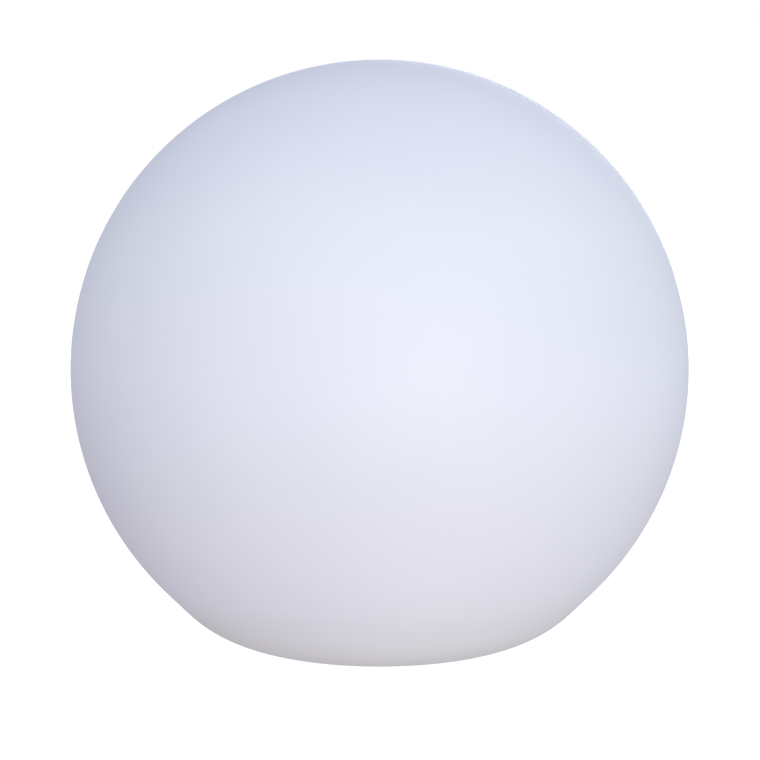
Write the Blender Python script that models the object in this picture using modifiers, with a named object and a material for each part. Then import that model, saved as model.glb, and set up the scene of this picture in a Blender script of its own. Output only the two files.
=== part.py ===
"""Floating pool light, in metres, +Z up, origin at the centre of the face that it stands on.

A rotomoulded globe has a pocket in its foot. A sealed light module hangs in that pocket, clamped by six
screws and a gasket. The module holds the charging board, a lithium cell, a frame and the LED board under a
frosted lens. Its underside carries a push button, a hinged cover over the charging socket and a tether ring.
"""

import math

import bmesh
import bpy
from mathutils import Matrix

# Driving dimensions of the globe
GLOBE_RADIUS = 0.175
GLOBE_HEIGHT = 0.330
WALL = 0.0035
FLANK_DEG = 45.5  # slope of the straight flank between the ball and the foot
FOOT_FILLET = 0.068
POCKET_MOUTH_RADIUS = 0.053
POCKET_LIP = 0.003
POCKET_CORNER = 0.002
SEAT_RADIUS = 0.0495
SEAT_Z = 0.015  # the face that the gasket presses on
OPENING_RADIUS = 0.041
GLOBE_SEGMENTS = 40

GAP = 0.0003  # between pieces that touch

# Fasteners between the module and the globe
FLANGE_SCREW_CIRCLE = 0.046
FLANGE_SCREW_DEGREES = [60 * k for k in range(6)]
FLANGE_SCREW_SEAT = 0.0015  # how deep the heads sit in the flange
FLANGE_HOLE = 0.0023
COUNTERBORE = 0.0038
INSERT_RADIUS = 0.0030
INSERT_BORE = 0.00215
INSERT_LENGTH = 0.010
INSERT_CLEARANCE = 0.0002
BOSS_RADIUS = 0.0045
BOSS_HEIGHT = 0.0135
GASKET_RADII = (0.042, 0.050)
GASKET_HOLE = 0.0025

# Module body
PLATE_UNDER = 0.009
PLATE_TOP = 0.012
FLANGE_TOP = 0.0127
FLANGE_RADIUS = 0.051
FLANGE_CHAMFER = 0.0008
WELL_CHAMFER = 0.001
CUP_OUTER = 0.040
CUP_INNER = 0.0375
RIM_Z = 0.055
RIM_GROOVE_INNER = 0.0380
RIM_GROOVE_OUTER = 0.0395
RIM_GROOVE_DEPTH = 0.001
MODULE_SEGMENTS = 32

# Push button and its well
WELL_RADIUS = 0.0108
WELL_OUTER = 0.0130
WELL_CEILING = 0.015
WELL_ROOF = 0.017
GUIDE_RADIUS = 0.0046  # of the tube that guides the button's stem
GUIDE_BORE = 0.0028
GUIDE_LOW = 0.0125
GUIDE_TOP = 0.0185
CAP_RADIUS = 0.0104
CAP_CAVITY = 0.0086
CAP_LOW = 0.0070
CAP_FLOOR = 0.0092
CAP_TOP = 0.0125
STEM_RADIUS = 0.0025
STEM_GROOVE = 0.0018
STEM_TOP = 0.0202
ORING_GROOVE_Z = (0.0150, 0.0164)
ORING_RADII = (0.00228, 0.0004)
CLIP_GROOVE_Z = (0.0188, 0.0195)
CLIP_RADII = (0.00195, 0.0040)
SPRING_RADIUS = 0.0066
SPRING_WIRE = 0.0004
SPRING_TURNS = 3.5
SWITCH_SIDE = 0.006
SWITCH_HEIGHT = 0.0028
SWITCH_BORE = 0.0019
PLUNGER_RADIUS = 0.0015
PLUNGER_LENGTH = 0.0016

# Boards and the stack above the plate
CONTROL_BOARD_Z = (0.0243, 0.0259)
CONTROL_BOARD_RADIUS = 0.034
DECK_Z = (0.0292, 0.0310)
LED_BOARD_Z = (0.0510, 0.0526)
LED_BOARD_RADIUS = 0.0295
POST_XY = (0.020, 0.014)
COLUMN_XY = (0.014, 0.022)
POST_RADIUS = 0.003
COLUMN_RADIUS = 0.0025
PILOT_RADIUS = 0.00135
SMALL_HOLE = 0.0016
DECK_HALF_X, DECK_HALF_Y = 0.025, 0.0248
DECK_NOTCH_X, DECK_NOTCH_Y = 0.0172, 0.0175  # the corners that the deck leaves free

# Lens
LENS_FLANGE_Z = (0.0556, 0.0576)
LENS_DOME_RADIUS = 0.0305
LENS_DOME_HEIGHT = 0.0205
LENS_WALL = 0.002
LENS_SCREW_CIRCLE = 0.034
LENS_SCREW_DEGREES = [45 + 90 * k for k in range(4)]
LENS_BOSS_RADIUS = 0.0038
LENS_BOSS_HEIGHT = 0.0115
LENS_SEAL_WIRE = 0.0005

# Battery
CELL_RADIUS = 0.0092
CELL_LENGTH = 0.065
CELL_Z = DECK_Z[1] + 0.0004 + CELL_RADIUS
CELL_BUTTON = (0.0030, 0.0012)  # radius and height of the positive end
CRADLE_X = (-0.02025, 0.02025)
CRADLE_WIDTH = 0.0035
CRADLE_HALF_Y = 0.0102
STRAP_WIDTH = 0.010
STRAP_THICKNESS = 0.0009
STRAP_FOOT = 0.0140
PLUG_X = (0.0262, 0.0328)
PLUG_HALF_WIDTH = 0.004
PLUG_HEIGHT = 0.0044
LEAD_RADIUS = 0.0006
LED_CABLE_RADIUS = 0.0012

# LEDs
LED_CIRCLE = 0.0225
LED_DEGREES = [30 + 60 * k for k in range(6)]
LED_SIDE = 0.005
LED_HEIGHT = 0.0016
RECEIVER_HEIGHT = 0.007
RECEIVER_EYE = 0.0022

# Charging port
PORT_Y = -0.027
PORT_WELL_RADIUS = 0.0065
PORT_WELL_OUTER = 0.0085
PORT_FLOOR_Z = 0.0158
PORT_ROOF_Z = 0.0173
SNOUT_RADIUS = 0.0040
SNOUT_Z = 0.0157
BARREL_RADIUS = 0.0029
SOCKET_SIDE = 0.011
SOCKET_PIN_RADIUS = 0.001
COVER_HINGE_Y = -0.0385
COVER_HINGE_Z = 0.0065
COVER_Z = (0.0064, 0.0086)
KNUCKLE_RADIUS = 0.0020
HINGE_BORE = 0.00105
HINGE_PIN_RADIUS = 0.00085
KNUCKLE_HALF_WIDTH = 0.0064
LUG_X = (0.0068, 0.0098)
LUG_RADIUS = 0.0024
COVER_HALF_WIDTH = 0.0095
COVER_Y = (-0.0355, -0.0185)
COVER_FREE_END = -0.0165
TAB_HALF_WIDTH = 0.004
BUNG_RADII = (0.0050, 0.0062)  # at its tip and at the cover
BUNG_HEIGHT = 0.0025

# Tether ring and its saddle
RING_WIRE = 0.0015
RING_CORNER = 0.004
RING_Y = 0.023
RING_Z = 0.006
RING_HALF_WIDTH = 0.013
RING_REACH = 0.0440
RING_DROOP = math.asin((RING_Z - RING_WIRE - 0.0002) / (RING_REACH - RING_Y))  # its end lies on the floor
SADDLE_INNER = 0.00185
SADDLE_OUTER = 0.00285
SADDLE_WING = 0.0102
SADDLE_HALF_WIDTH = 0.0065
SADDLE_Z = (0.0077, 0.0087)
SADDLE_SCREW_OFFSET = 0.0067
SADDLE_BOSS_HEIGHT = 0.007

PIPE_X, PIPE_Y = 0.016, -0.022
PIPE_RADIUS = 0.0014
PIPE_BORE = 0.00165


def clear_scene():
    for obj in list(bpy.data.objects):
        bpy.data.objects.remove(obj, do_unlink=True)


def new_collection(name):
    collection = bpy.data.collections.new(name)
    bpy.context.scene.collection.children.link(collection)
    return collection


clear_scene()
PARTS = new_collection("floating_pool_light")
CUTTERS = new_collection("cutters")
CUTTERS.hide_render = True


def material(name, colour, roughness, metallic=0.0):
    made = bpy.data.materials.new(name)
    made.use_nodes = True
    shader = made.node_tree.nodes["Principled BSDF"]
    shader.inputs["Base Color"].default_value = (*colour, 1.0)
    shader.inputs["Roughness"].default_value = roughness
    shader.inputs["Metallic"].default_value = metallic
    return made


GLOBE_WHITE = material("globe_white", (0.83, 0.85, 0.91), 0.45)
HOUSING_WHITE = material("housing_white", (0.80, 0.80, 0.80), 0.35)
LENS_FROST = material("lens_frost", (0.88, 0.90, 0.92), 0.50)
SILICONE_GREY = material("silicone_grey", (0.42, 0.43, 0.45), 0.60)
STAINLESS = material("stainless", (0.62, 0.62, 0.60), 0.25, 1.0)
BRASS = material("brass", (0.75, 0.58, 0.28), 0.30, 1.0)
BOARD_WHITE = material("board_white", (0.86, 0.86, 0.84), 0.35)
BOARD_GREEN = material("board_green", (0.03, 0.22, 0.10), 0.35)
FRAME_BLACK = material("frame_black", (0.04, 0.04, 0.045), 0.45)
CELL_WRAP = material("cell_wrap", (0.04, 0.20, 0.50), 0.30)
LED_PHOSPHOR = material("led_phosphor", (0.90, 0.78, 0.30), 0.30)
LEAD_RED = material("lead_red", (0.60, 0.03, 0.02), 0.40)
LEAD_BLACK = material("lead_black", (0.02, 0.02, 0.02), 0.40)
CLEAR_ACRYLIC = material("clear_acrylic", (0.85, 0.88, 0.90), 0.10)


def polar(radius, degrees):
    angle = math.radians(degrees)
    return radius * math.cos(angle), radius * math.sin(angle)


def arc(centre_x, centre_y, radius, start, end, steps):
    """Points on an arc, both ends included, with the angles in degrees."""
    points = []
    for k in range(steps + 1):
        x, y = polar(radius, start + (end - start) * k / steps)
        points.append((centre_x + x, centre_y + y))
    return points


def four_corners(x, y):
    return [(x, y), (-x, y), (-x, -y), (x, -y)]


def flange_screw_places():
    return [polar(FLANGE_SCREW_CIRCLE, degrees) for degrees in FLANGE_SCREW_DEGREES]


def lens_screw_places():
    return [polar(LENS_SCREW_CIRCLE, degrees) for degrees in LENS_SCREW_DEGREES]


def saddle_screw_places():
    return [(0, RING_Y - SADDLE_SCREW_OFFSET), (0, RING_Y + SADDLE_SCREW_OFFSET)]


def frame_screw_places():
    return four_corners(*POST_XY)[::2]


def led_screw_places():
    return four_corners(*COLUMN_XY)[::2]


def add_object(name, mesh, mat, collection=PARTS):
    obj = bpy.data.objects.new(name, mesh)
    collection.objects.link(obj)
    if mat is not None and not mesh.materials:
        mesh.materials.append(mat)
    if collection is CUTTERS:
        obj.hide_render = True
        obj.display_type = "WIRE"
    return obj


def from_bmesh(name, bm, mat, collection=PARTS):
    bmesh.ops.recalc_face_normals(bm, faces=bm.faces)
    mesh = bpy.data.meshes.new(name)
    bm.to_mesh(mesh)
    bm.free()
    return add_object(name, mesh, mat, collection)


def shade_round(obj):
    obj.data.shade_smooth()
    obj.data.set_sharp_from_angle(angle=math.radians(35))
    return obj


def add_cylinder(bm, radius, low, high, x=0.0, y=0.0, segments=16, top_radius=None):
    bmesh.ops.create_cone(
        bm,
        cap_ends=True,
        segments=segments,
        radius1=radius,
        radius2=radius if top_radius is None else top_radius,
        depth=high - low,
        matrix=Matrix.Translation((x, y, (low + high) / 2)),
    )


def add_cylinder_x(bm, radius, half_length, y, z, segments=16):
    turn = Matrix.Rotation(math.pi / 2, 4, "Y")
    bmesh.ops.create_cone(
        bm,
        cap_ends=True,
        segments=segments,
        radius1=radius,
        radius2=radius,
        depth=2 * half_length,
        matrix=Matrix.Translation((0, y, z)) @ turn,
    )


def add_box(bm, low, high):
    centre = [(a + b) / 2 for a, b in zip(low, high)]
    size = [b - a for a, b in zip(low, high)]
    bmesh.ops.create_cube(bm, size=1.0, matrix=Matrix.Translation(centre) @ Matrix.Diagonal((*size, 1)))


def add_prism(bm, outline, start, end, axis="Z"):
    """An outline pushed along an axis: (x, y) for Z, and (y, z) for X."""
    if axis == "Z":
        corners = [(u, v, start) for u, v in outline]
        push = (0, 0, end - start)
    else:
        corners = [(start, u, v) for u, v in outline]
        push = (end - start, 0, 0)
    face = bm.faces.new([bm.verts.new(c) for c in corners])
    moved = bmesh.ops.extrude_face_region(bm, geom=[face], use_keep_orig=True)
    verts = [g for g in moved["geom"] if isinstance(g, bmesh.types.BMVert)]
    bmesh.ops.translate(bm, verts=verts, vec=push)


def rounded_rectangle(x_low, x_high, y_low, y_high, radius, steps=3):
    points = []
    for x, y, start in (
        (x_high - radius, y_high - radius, 0),
        (x_low + radius, y_high - radius, 90),
        (x_low + radius, y_low + radius, 180),
        (x_high - radius, y_low + radius, 270),
    ):
        points += arc(x, y, radius, start, start + 90, steps)
    return points


def turned(name, outline, mat, segments, closed=True, collection=PARTS):
    """Turns an outline of (radius, z) points about Z. Its outer side runs from top to bottom."""
    bm = bmesh.new()
    verts = [bm.verts.new((max(r, 0.0), 0, z)) for r, z in outline]
    for a, b in zip(verts, verts[1:]):
        bm.edges.new((a, b))
    if closed:
        bm.edges.new((verts[-1], verts[0]))
    mesh = bpy.data.meshes.new(name)
    bm.to_mesh(mesh)
    bm.free()
    obj = add_object(name, mesh, mat, collection)
    screw = obj.modifiers.new("turn", "SCREW")
    screw.steps = segments
    screw.render_steps = segments
    screw.use_merge_vertices = True
    screw.merge_threshold = 0.00001
    return obj


def boolean(obj, operation, tool):
    modifier = obj.modifiers.new(operation.lower(), "BOOLEAN")
    modifier.operation = operation
    modifier.object = tool
    return modifier


def tool(name, bm):
    return from_bmesh(name, bm, None, CUTTERS)


def settled(obj):
    """Applies the modifiers, so that copies can share the mesh, and returns the object."""
    graph = bpy.context.evaluated_depsgraph_get()
    mesh = bpy.data.meshes.new_from_object(obj.evaluated_get(graph))
    obj.modifiers.clear()
    obj.data = mesh
    return obj


def copies(first, stem, places):
    """Numbered copies of one piece, which share its mesh. A place is (x, y)."""
    for number, (x, y) in enumerate(places, start=1):
        obj = first if number == 1 else add_object(stem, first.data, None)
        obj.name = f"{stem}_{number}"
        obj.rotation_euler = first.rotation_euler
        obj.location = (x, y, first.location.z)


# Globe


def globe_outline():
    """The outer skin from the pole down to the opening, then the inner skin back to the pole."""
    centre_z = GLOBE_HEIGHT - GLOBE_RADIUS
    leave = FLANK_DEG - 90
    slope = math.radians(FLANK_DEG)
    flank_r, flank_z = arc(0, centre_z, GLOBE_RADIUS, leave, leave, 1)[0]
    foot_r = flank_r - flank_z / math.tan(slope) - FOOT_FILLET * math.tan(slope / 2)
    corner_z = SEAT_Z - POCKET_CORNER
    outer = arc(0, centre_z, GLOBE_RADIUS, 90, 0, 8)
    outer += arc(0, centre_z, GLOBE_RADIUS, 0, leave, 4)[1:]
    outer += arc(foot_r, FOOT_FILLET, FOOT_FILLET, leave, -90, 4)
    outer += arc(POCKET_MOUTH_RADIUS + POCKET_LIP, POCKET_LIP, POCKET_LIP, -90, -180, 2)
    outer += arc(SEAT_RADIUS, corner_z, POCKET_CORNER, 0, 90, 2)
    outer += [(OPENING_RADIUS, SEAT_Z), (OPENING_RADIUS, SEAT_Z + WALL)]
    inner = arc(SEAT_RADIUS, corner_z, POCKET_CORNER + WALL, 90, 0, 1)
    inner += [(POCKET_MOUTH_RADIUS + WALL, WALL)]
    inner += arc(foot_r, FOOT_FILLET, FOOT_FILLET - WALL, -90, leave, 3)
    inner += arc(0, centre_z, GLOBE_RADIUS - WALL, leave, 90, 8)
    return outer + inner


def make_globe():
    shell = turned("globe_shell", globe_outline(), GLOBE_WHITE, GLOBE_SEGMENTS, closed=False)
    bosses, pockets = bmesh.new(), bmesh.new()
    pocket_top = SEAT_Z + INSERT_LENGTH + 2 * GAP
    for x, y in flange_screw_places():
        add_cylinder(bosses, BOSS_RADIUS, SEAT_Z + WALL / 2, SEAT_Z + BOSS_HEIGHT, x, y, 12)
        add_cylinder(pockets, INSERT_RADIUS + INSERT_CLEARANCE, SEAT_Z - 0.002, pocket_top, x, y, 12)
    boolean(shell, "UNION", tool("insert_bosses", bosses))
    boolean(shell, "DIFFERENCE", tool("insert_pockets", pockets))


def make_inserts():
    low = SEAT_Z + GAP
    high = low + INSERT_LENGTH
    outline = [(INSERT_RADIUS, high), (INSERT_RADIUS, low), (INSERT_BORE, low), (INSERT_BORE, high)]
    first = settled(turned("threaded_insert", outline, BRASS, 12))
    copies(first, "threaded_insert", flange_screw_places())


def make_gasket():
    low, high = FLANGE_TOP + GAP, SEAT_Z - GAP
    inner, outer = GASKET_RADII
    outline = [(outer, high), (outer, low), (inner, low), (inner, high)]
    gasket = turned("flange_gasket", outline, SILICONE_GREY, MODULE_SEGMENTS)
    holes = bmesh.new()
    for x, y in flange_screw_places():
        add_cylinder(holes, GASKET_HOLE, low - 0.001, high + 0.001, x, y, 10)
    boolean(gasket, "DIFFERENCE", tool("gasket_holes", holes))


# Screws


def cross_outline(half_length, half_width):
    a, b = half_length, half_width
    arm = [(a, -b), (a, b), (b, b)]
    points = []
    for _ in range(4):
        points += arm
        arm = [(-y, x) for x, y in arm]
    return points


def make_screw(stem, head, shank, places, seat_z, downwards=False):
    """Pan-head screws with a cross recess. The shank points up from its seat, or down. A head is its radius
    and height, and a shank its radius and length."""
    head_radius, head_height = head
    shank_radius, length = shank
    outline = [
        (0, length),
        (shank_radius, length - 0.6 * shank_radius),
        (shank_radius, 0),
        (head_radius, 0),
        (head_radius, -0.5 * head_height),
        (0.7 * head_radius, -head_height),
        (0, -head_height),
    ]
    first = turned(stem, outline, STAINLESS, 10, closed=False)
    recess = bmesh.new()
    cross = cross_outline(0.55 * head_radius, 0.16 * head_radius)
    add_prism(recess, cross, -1.5 * head_height, -0.4 * head_height)
    boolean(first, "DIFFERENCE", tool(stem + "_recess", recess))
    settled(first)
    first.location.z = seat_z
    if downwards:
        first.rotation_euler.x = math.pi
    copies(first, stem, places)


def make_screws():
    flange_seat = PLATE_UNDER + FLANGE_SCREW_SEAT
    make_screw("flange_screw", (0.0034, 0.0022), (0.0019, 0.0130), flange_screw_places(), flange_seat)
    make_screw("saddle_screw", (0.0027, 0.0017), (0.0012, 0.0085), saddle_screw_places(), SADDLE_Z[0] - GAP)
    lens_seat, led_seat, frame_seat = LENS_FLANGE_Z[1] + GAP, LED_BOARD_Z[1] + GAP, DECK_Z[1] + GAP
    make_screw("lens_screw", (0.0024, 0.0016), (0.0012, 0.0095), lens_screw_places(), lens_seat, True)
    make_screw("led_screw", (0.0022, 0.0014), (0.0011, 0.0080), led_screw_places(), led_seat, True)
    make_screw("frame_screw", (0.0022, 0.0016), (0.0012, 0.0160), frame_screw_places(), frame_seat, True)


# Module body


def module_outline():
    """Flange, plate, button well with its guide, and cup wall, as one turned outline."""
    return [
        (CUP_OUTER, RIM_Z),
        (CUP_OUTER, FLANGE_TOP),
        (FLANGE_RADIUS, FLANGE_TOP),
        (FLANGE_RADIUS, PLATE_UNDER + FLANGE_CHAMFER),
        (FLANGE_RADIUS - FLANGE_CHAMFER, PLATE_UNDER),
        (WELL_RADIUS + WELL_CHAMFER, PLATE_UNDER),
        (WELL_RADIUS, PLATE_UNDER + WELL_CHAMFER),
        (WELL_RADIUS, WELL_CEILING),
        (GUIDE_RADIUS, WELL_CEILING),
        (GUIDE_RADIUS, GUIDE_LOW),
        (GUIDE_BORE, GUIDE_LOW),
        (GUIDE_BORE, GUIDE_TOP),
        (GUIDE_RADIUS, GUIDE_TOP),
        (GUIDE_RADIUS, WELL_ROOF),
        (WELL_OUTER, WELL_ROOF),
        (WELL_OUTER, PLATE_TOP),
        (CUP_INNER, PLATE_TOP),
        (CUP_INNER, RIM_Z),
        (RIM_GROOVE_INNER, RIM_Z),
        (RIM_GROOVE_INNER, RIM_Z - RIM_GROOVE_DEPTH),
        (RIM_GROOVE_OUTER, RIM_Z - RIM_GROOVE_DEPTH),
        (RIM_GROOVE_OUTER, RIM_Z),
    ]


def module_additions():
    """Bosses and posts inside the cup, the charging well, and the two hinge lugs under the plate."""
    bm = bmesh.new()
    root = PLATE_TOP - 0.001
    for x, y in lens_screw_places():
        add_cylinder(bm, LENS_BOSS_RADIUS, RIM_Z - LENS_BOSS_HEIGHT, RIM_Z - 0.0005, x, y, 12)
    for x, y in four_corners(*POST_XY):
        add_cylinder(bm, POST_RADIUS, root, CONTROL_BOARD_Z[0] - GAP, x, y, 12)
    for x, y in saddle_screw_places():
        add_cylinder(bm, POST_RADIUS, root, PLATE_TOP + SADDLE_BOSS_HEIGHT, x, y, 12)
    add_cylinder(bm, PORT_WELL_OUTER, root, PORT_ROOF_Z, 0, PORT_Y, 20)
    lug = [(COVER_HINGE_Y + LUG_RADIUS, PLATE_UNDER + 0.001)]
    lug += arc(COVER_HINGE_Y, COVER_HINGE_Z, LUG_RADIUS, 0, -180, 6)
    lug += [(COVER_HINGE_Y - LUG_RADIUS, PLATE_UNDER + 0.001)]
    for sign in (-1, 1):
        add_prism(bm, lug, sign * LUG_X[0], sign * LUG_X[1], "X")
    return bm


def module_wide_cuts():
    """Counterbores, the charging well and the bore through both hinge lugs."""
    bm = bmesh.new()
    for x, y in flange_screw_places():
        add_cylinder(bm, COUNTERBORE, PLATE_UNDER - 0.002, PLATE_UNDER + FLANGE_SCREW_SEAT + GAP, x, y, 12)
    add_cylinder(bm, PORT_WELL_RADIUS, PLATE_UNDER - 0.002, PORT_FLOOR_Z, 0, PORT_Y, 20)
    add_cylinder_x(bm, HINGE_BORE, LUG_X[1] + 0.001, COVER_HINGE_Y, COVER_HINGE_Z, 12)
    return bm


def module_narrow_cuts():
    """Screw holes, and the holes for the charging socket's nose and the light pipe."""
    bm = bmesh.new()
    for x, y in flange_screw_places():
        add_cylinder(bm, FLANGE_HOLE, PLATE_UNDER - 0.001, FLANGE_TOP + 0.001, x, y, 12)
    for x, y in lens_screw_places():
        add_cylinder(bm, PILOT_RADIUS, RIM_Z - 0.009, RIM_Z + 0.001, x, y, 12)
    for x, y in frame_screw_places():
        add_cylinder(bm, PILOT_RADIUS, PLATE_TOP + 0.001, CONTROL_BOARD_Z[0] + 0.001, x, y, 12)
    for x, y in saddle_screw_places():
        add_cylinder(bm, PILOT_RADIUS, PLATE_UNDER - 0.001, PLATE_TOP + 0.0055, x, y, 12)
    add_cylinder(bm, SNOUT_RADIUS + GAP, PORT_FLOOR_Z - 0.001, PORT_ROOF_Z + 0.001, 0, PORT_Y)
    add_cylinder(bm, PIPE_BORE, PLATE_UNDER - 0.001, PLATE_TOP + 0.001, PIPE_X, PIPE_Y, 12)
    return bm


def make_module_base():
    base = turned("module_base", module_outline(), HOUSING_WHITE, MODULE_SEGMENTS)
    boolean(base, "UNION", tool("module_additions", module_additions()))
    boolean(base, "DIFFERENCE", tool("module_wide_cuts", module_wide_cuts()))
    boolean(base, "DIFFERENCE", tool("module_narrow_cuts", module_narrow_cuts()))


def make_lens():
    base_z = LENS_FLANGE_Z[1]
    ball = (LENS_DOME_RADIUS**2 + LENS_DOME_HEIGHT**2) / (2 * LENS_DOME_HEIGHT)
    centre_z = base_z + LENS_DOME_HEIGHT - ball
    start = math.degrees(math.asin((base_z - centre_z) / ball))
    inner = ball - LENS_WALL
    inner_start = math.degrees(math.asin((LENS_FLANGE_Z[0] - centre_z) / inner))
    outline = arc(0, centre_z, ball, 90, start, 5)
    outline += [(CUP_OUTER, base_z), (CUP_OUTER, LENS_FLANGE_Z[0])]
    outline += arc(0, centre_z, inner, inner_start, 90, 4)
    lens = turned("lens_dome", outline, LENS_FROST, MODULE_SEGMENTS, closed=False)
    holes = bmesh.new()
    for x, y in lens_screw_places():
        add_cylinder(holes, SMALL_HOLE, LENS_FLANGE_Z[0] - 0.001, base_z + 0.001, x, y, 12)
    boolean(lens, "DIFFERENCE", tool("lens_holes", holes))


def torus(name, major, minor, z, mat, major_segments, minor_segments):
    bpy.ops.mesh.primitive_torus_add(
        major_radius=major,
        minor_radius=minor,
        major_segments=major_segments,
        minor_segments=minor_segments,
        location=(0, 0, z),
    )
    obj = bpy.context.object
    for collection in obj.users_collection:
        collection.objects.unlink(obj)
    PARTS.objects.link(obj)
    obj.name = name
    obj.data.materials.append(mat)
    return shade_round(obj)


def make_lens_seal():
    middle = (RIM_GROOVE_INNER + RIM_GROOVE_OUTER) / 2
    torus("lens_seal", middle, LENS_SEAL_WIRE, RIM_Z - 0.0004, SILICONE_GREY, MODULE_SEGMENTS, 5)


# Boards, frame and battery


def make_led_board():
    bm = bmesh.new()
    add_cylinder(bm, LED_BOARD_RADIUS, *LED_BOARD_Z, segments=MODULE_SEGMENTS)
    board = from_bmesh("led_board", bm, BOARD_WHITE)
    holes = bmesh.new()
    for x, y in led_screw_places():
        add_cylinder(holes, SMALL_HOLE, LED_BOARD_Z[0] - 0.001, LED_BOARD_Z[1] + 0.001, x, y, 12)
    boolean(board, "DIFFERENCE", tool("led_board_holes", holes))


def make_leds():
    low = LED_BOARD_Z[1] + 0.0002
    half = LED_SIDE / 2
    bm = bmesh.new()
    add_prism(bm, rounded_rectangle(-half, half, -half, half, 0.0006, 1), low, low + LED_HEIGHT)
    first = from_bmesh("led", bm, LED_PHOSPHOR)
    well = bmesh.new()
    top = low + LED_HEIGHT
    add_cylinder(well, 0.0016, top - 0.0004, top + 0.001, segments=12, top_radius=0.0024)
    boolean(first, "DIFFERENCE", tool("led_well", well))
    settled(first)
    copies(first, "led", [polar(LED_CIRCLE, d) for d in LED_DEGREES])


def make_ir_receiver():
    low = LED_BOARD_Z[1] + GAP
    body = [(0.003, -0.002), (0.003, 0.0015), (-0.003, 0.0015), (-0.003, -0.002)]
    bm = bmesh.new()
    add_prism(bm, body, low, low + RECEIVER_HEIGHT)
    receiver = from_bmesh("ir_receiver", bm, FRAME_BLACK)
    eye = bmesh.new()
    place = Matrix.Translation((0, -0.0016, low + 0.6 * RECEIVER_HEIGHT))
    bmesh.ops.create_uvsphere(eye, u_segments=12, v_segments=8, radius=RECEIVER_EYE, matrix=place)
    boolean(receiver, "UNION", tool("receiver_eye", eye))


def make_control_board():
    bm = bmesh.new()
    add_cylinder(bm, CONTROL_BOARD_RADIUS, *CONTROL_BOARD_Z, segments=MODULE_SEGMENTS)
    board = from_bmesh("control_board", bm, BOARD_GREEN)
    holes = bmesh.new()
    for x, y in frame_screw_places():
        add_cylinder(holes, SMALL_HOLE, CONTROL_BOARD_Z[0] - 0.001, CONTROL_BOARD_Z[1] + 0.001, x, y, 12)
    boolean(board, "DIFFERENCE", tool("control_board_holes", holes))


def deck_outline():
    """A cross of two rectangles, which leaves its four corners free."""
    points = []
    for sx, sy in ((1, 1), (-1, 1), (-1, -1), (1, -1)):
        corner = [(DECK_HALF_X, DECK_NOTCH_Y), (DECK_NOTCH_X, DECK_NOTCH_Y), (DECK_NOTCH_X, DECK_HALF_Y)]
        if sx != sy:
            corner.reverse()
        points += [(sx * x, sy * y) for x, y in corner]
    return points


def make_frame():
    bm = bmesh.new()
    add_prism(bm, deck_outline(), *DECK_Z)
    frame = from_bmesh("inner_frame", bm, FRAME_BLACK)
    added, cuts = bmesh.new(), bmesh.new()
    for x, y in four_corners(*COLUMN_XY):
        add_cylinder(added, COLUMN_RADIUS, DECK_Z[0] + 0.0005, LED_BOARD_Z[0] - GAP, x, y, 12)
    for x, y in four_corners(*POST_XY):
        add_cylinder(added, POST_RADIUS, CONTROL_BOARD_Z[1] + GAP, DECK_Z[1] - 0.0005, x, y, 12)
    cradle = arc(0, CELL_Z, CELL_RADIUS + GAP, -150, -30, 8)
    edge_z = cradle[-1][1]
    cradle += [(CRADLE_HALF_Y, edge_z), (CRADLE_HALF_Y, DECK_Z[1] - 0.0008)]
    cradle += [(-CRADLE_HALF_Y, DECK_Z[1] - 0.0008), (-CRADLE_HALF_Y, edge_z)]
    for x in CRADLE_X:
        add_prism(added, cradle, x - CRADLE_WIDTH / 2, x + CRADLE_WIDTH / 2, "X")
    for x, y in led_screw_places():
        add_cylinder(cuts, PILOT_RADIUS, LED_BOARD_Z[0] - 0.009, LED_BOARD_Z[0] + 0.001, x, y, 12)
    for x, y in frame_screw_places():
        add_cylinder(cuts, SMALL_HOLE, CONTROL_BOARD_Z[1] - 0.001, DECK_Z[1] + 0.001, x, y, 12)
    boolean(frame, "UNION", tool("frame_additions", added))
    boolean(frame, "DIFFERENCE", tool("frame_cuts", cuts))


def make_battery():
    half = CELL_LENGTH / 2
    button_radius, button_height = CELL_BUTTON
    shoulder = half - button_height
    outline = [
        (0, half),
        (button_radius, half),
        (button_radius, shoulder),
        (CELL_RADIUS - 0.0007, shoulder),
        (CELL_RADIUS, shoulder - 0.0007),
        (CELL_RADIUS, -half + 0.0006),
        (CELL_RADIUS - 0.0006, -half),
        (0, -half),
    ]
    cell = turned("battery_cell", outline, CELL_WRAP, 20, closed=False)
    cell.rotation_euler.y = math.pi / 2
    cell.location.z = CELL_Z


def make_battery_strap():
    inner = CELL_RADIUS + GAP
    outer = inner + STRAP_THICKNESS
    low = DECK_Z[1] + GAP
    high = low + STRAP_THICKNESS
    outline = arc(0, CELL_Z, outer, 0, 180, 10)
    outline += [(-outer, high), (-STRAP_FOOT, high), (-STRAP_FOOT, low), (-inner, low)]
    outline += arc(0, CELL_Z, inner, 180, 0, 10)
    outline += [(inner, low), (STRAP_FOOT, low), (STRAP_FOOT, high), (outer, high)]
    bm = bmesh.new()
    add_prism(bm, outline, -STRAP_WIDTH / 2, STRAP_WIDTH / 2, "X")
    from_bmesh("battery_strap", bm, FRAME_BLACK)


def make_battery_plug():
    bm = bmesh.new()
    low = CONTROL_BOARD_Z[1] + GAP
    add_box(bm, (PLUG_X[0], -PLUG_HALF_WIDTH, low), (PLUG_X[1], PLUG_HALF_WIDTH, low + PLUG_HEIGHT))
    from_bmesh("battery_plug", bm, BOARD_WHITE)


# Leads


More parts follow.
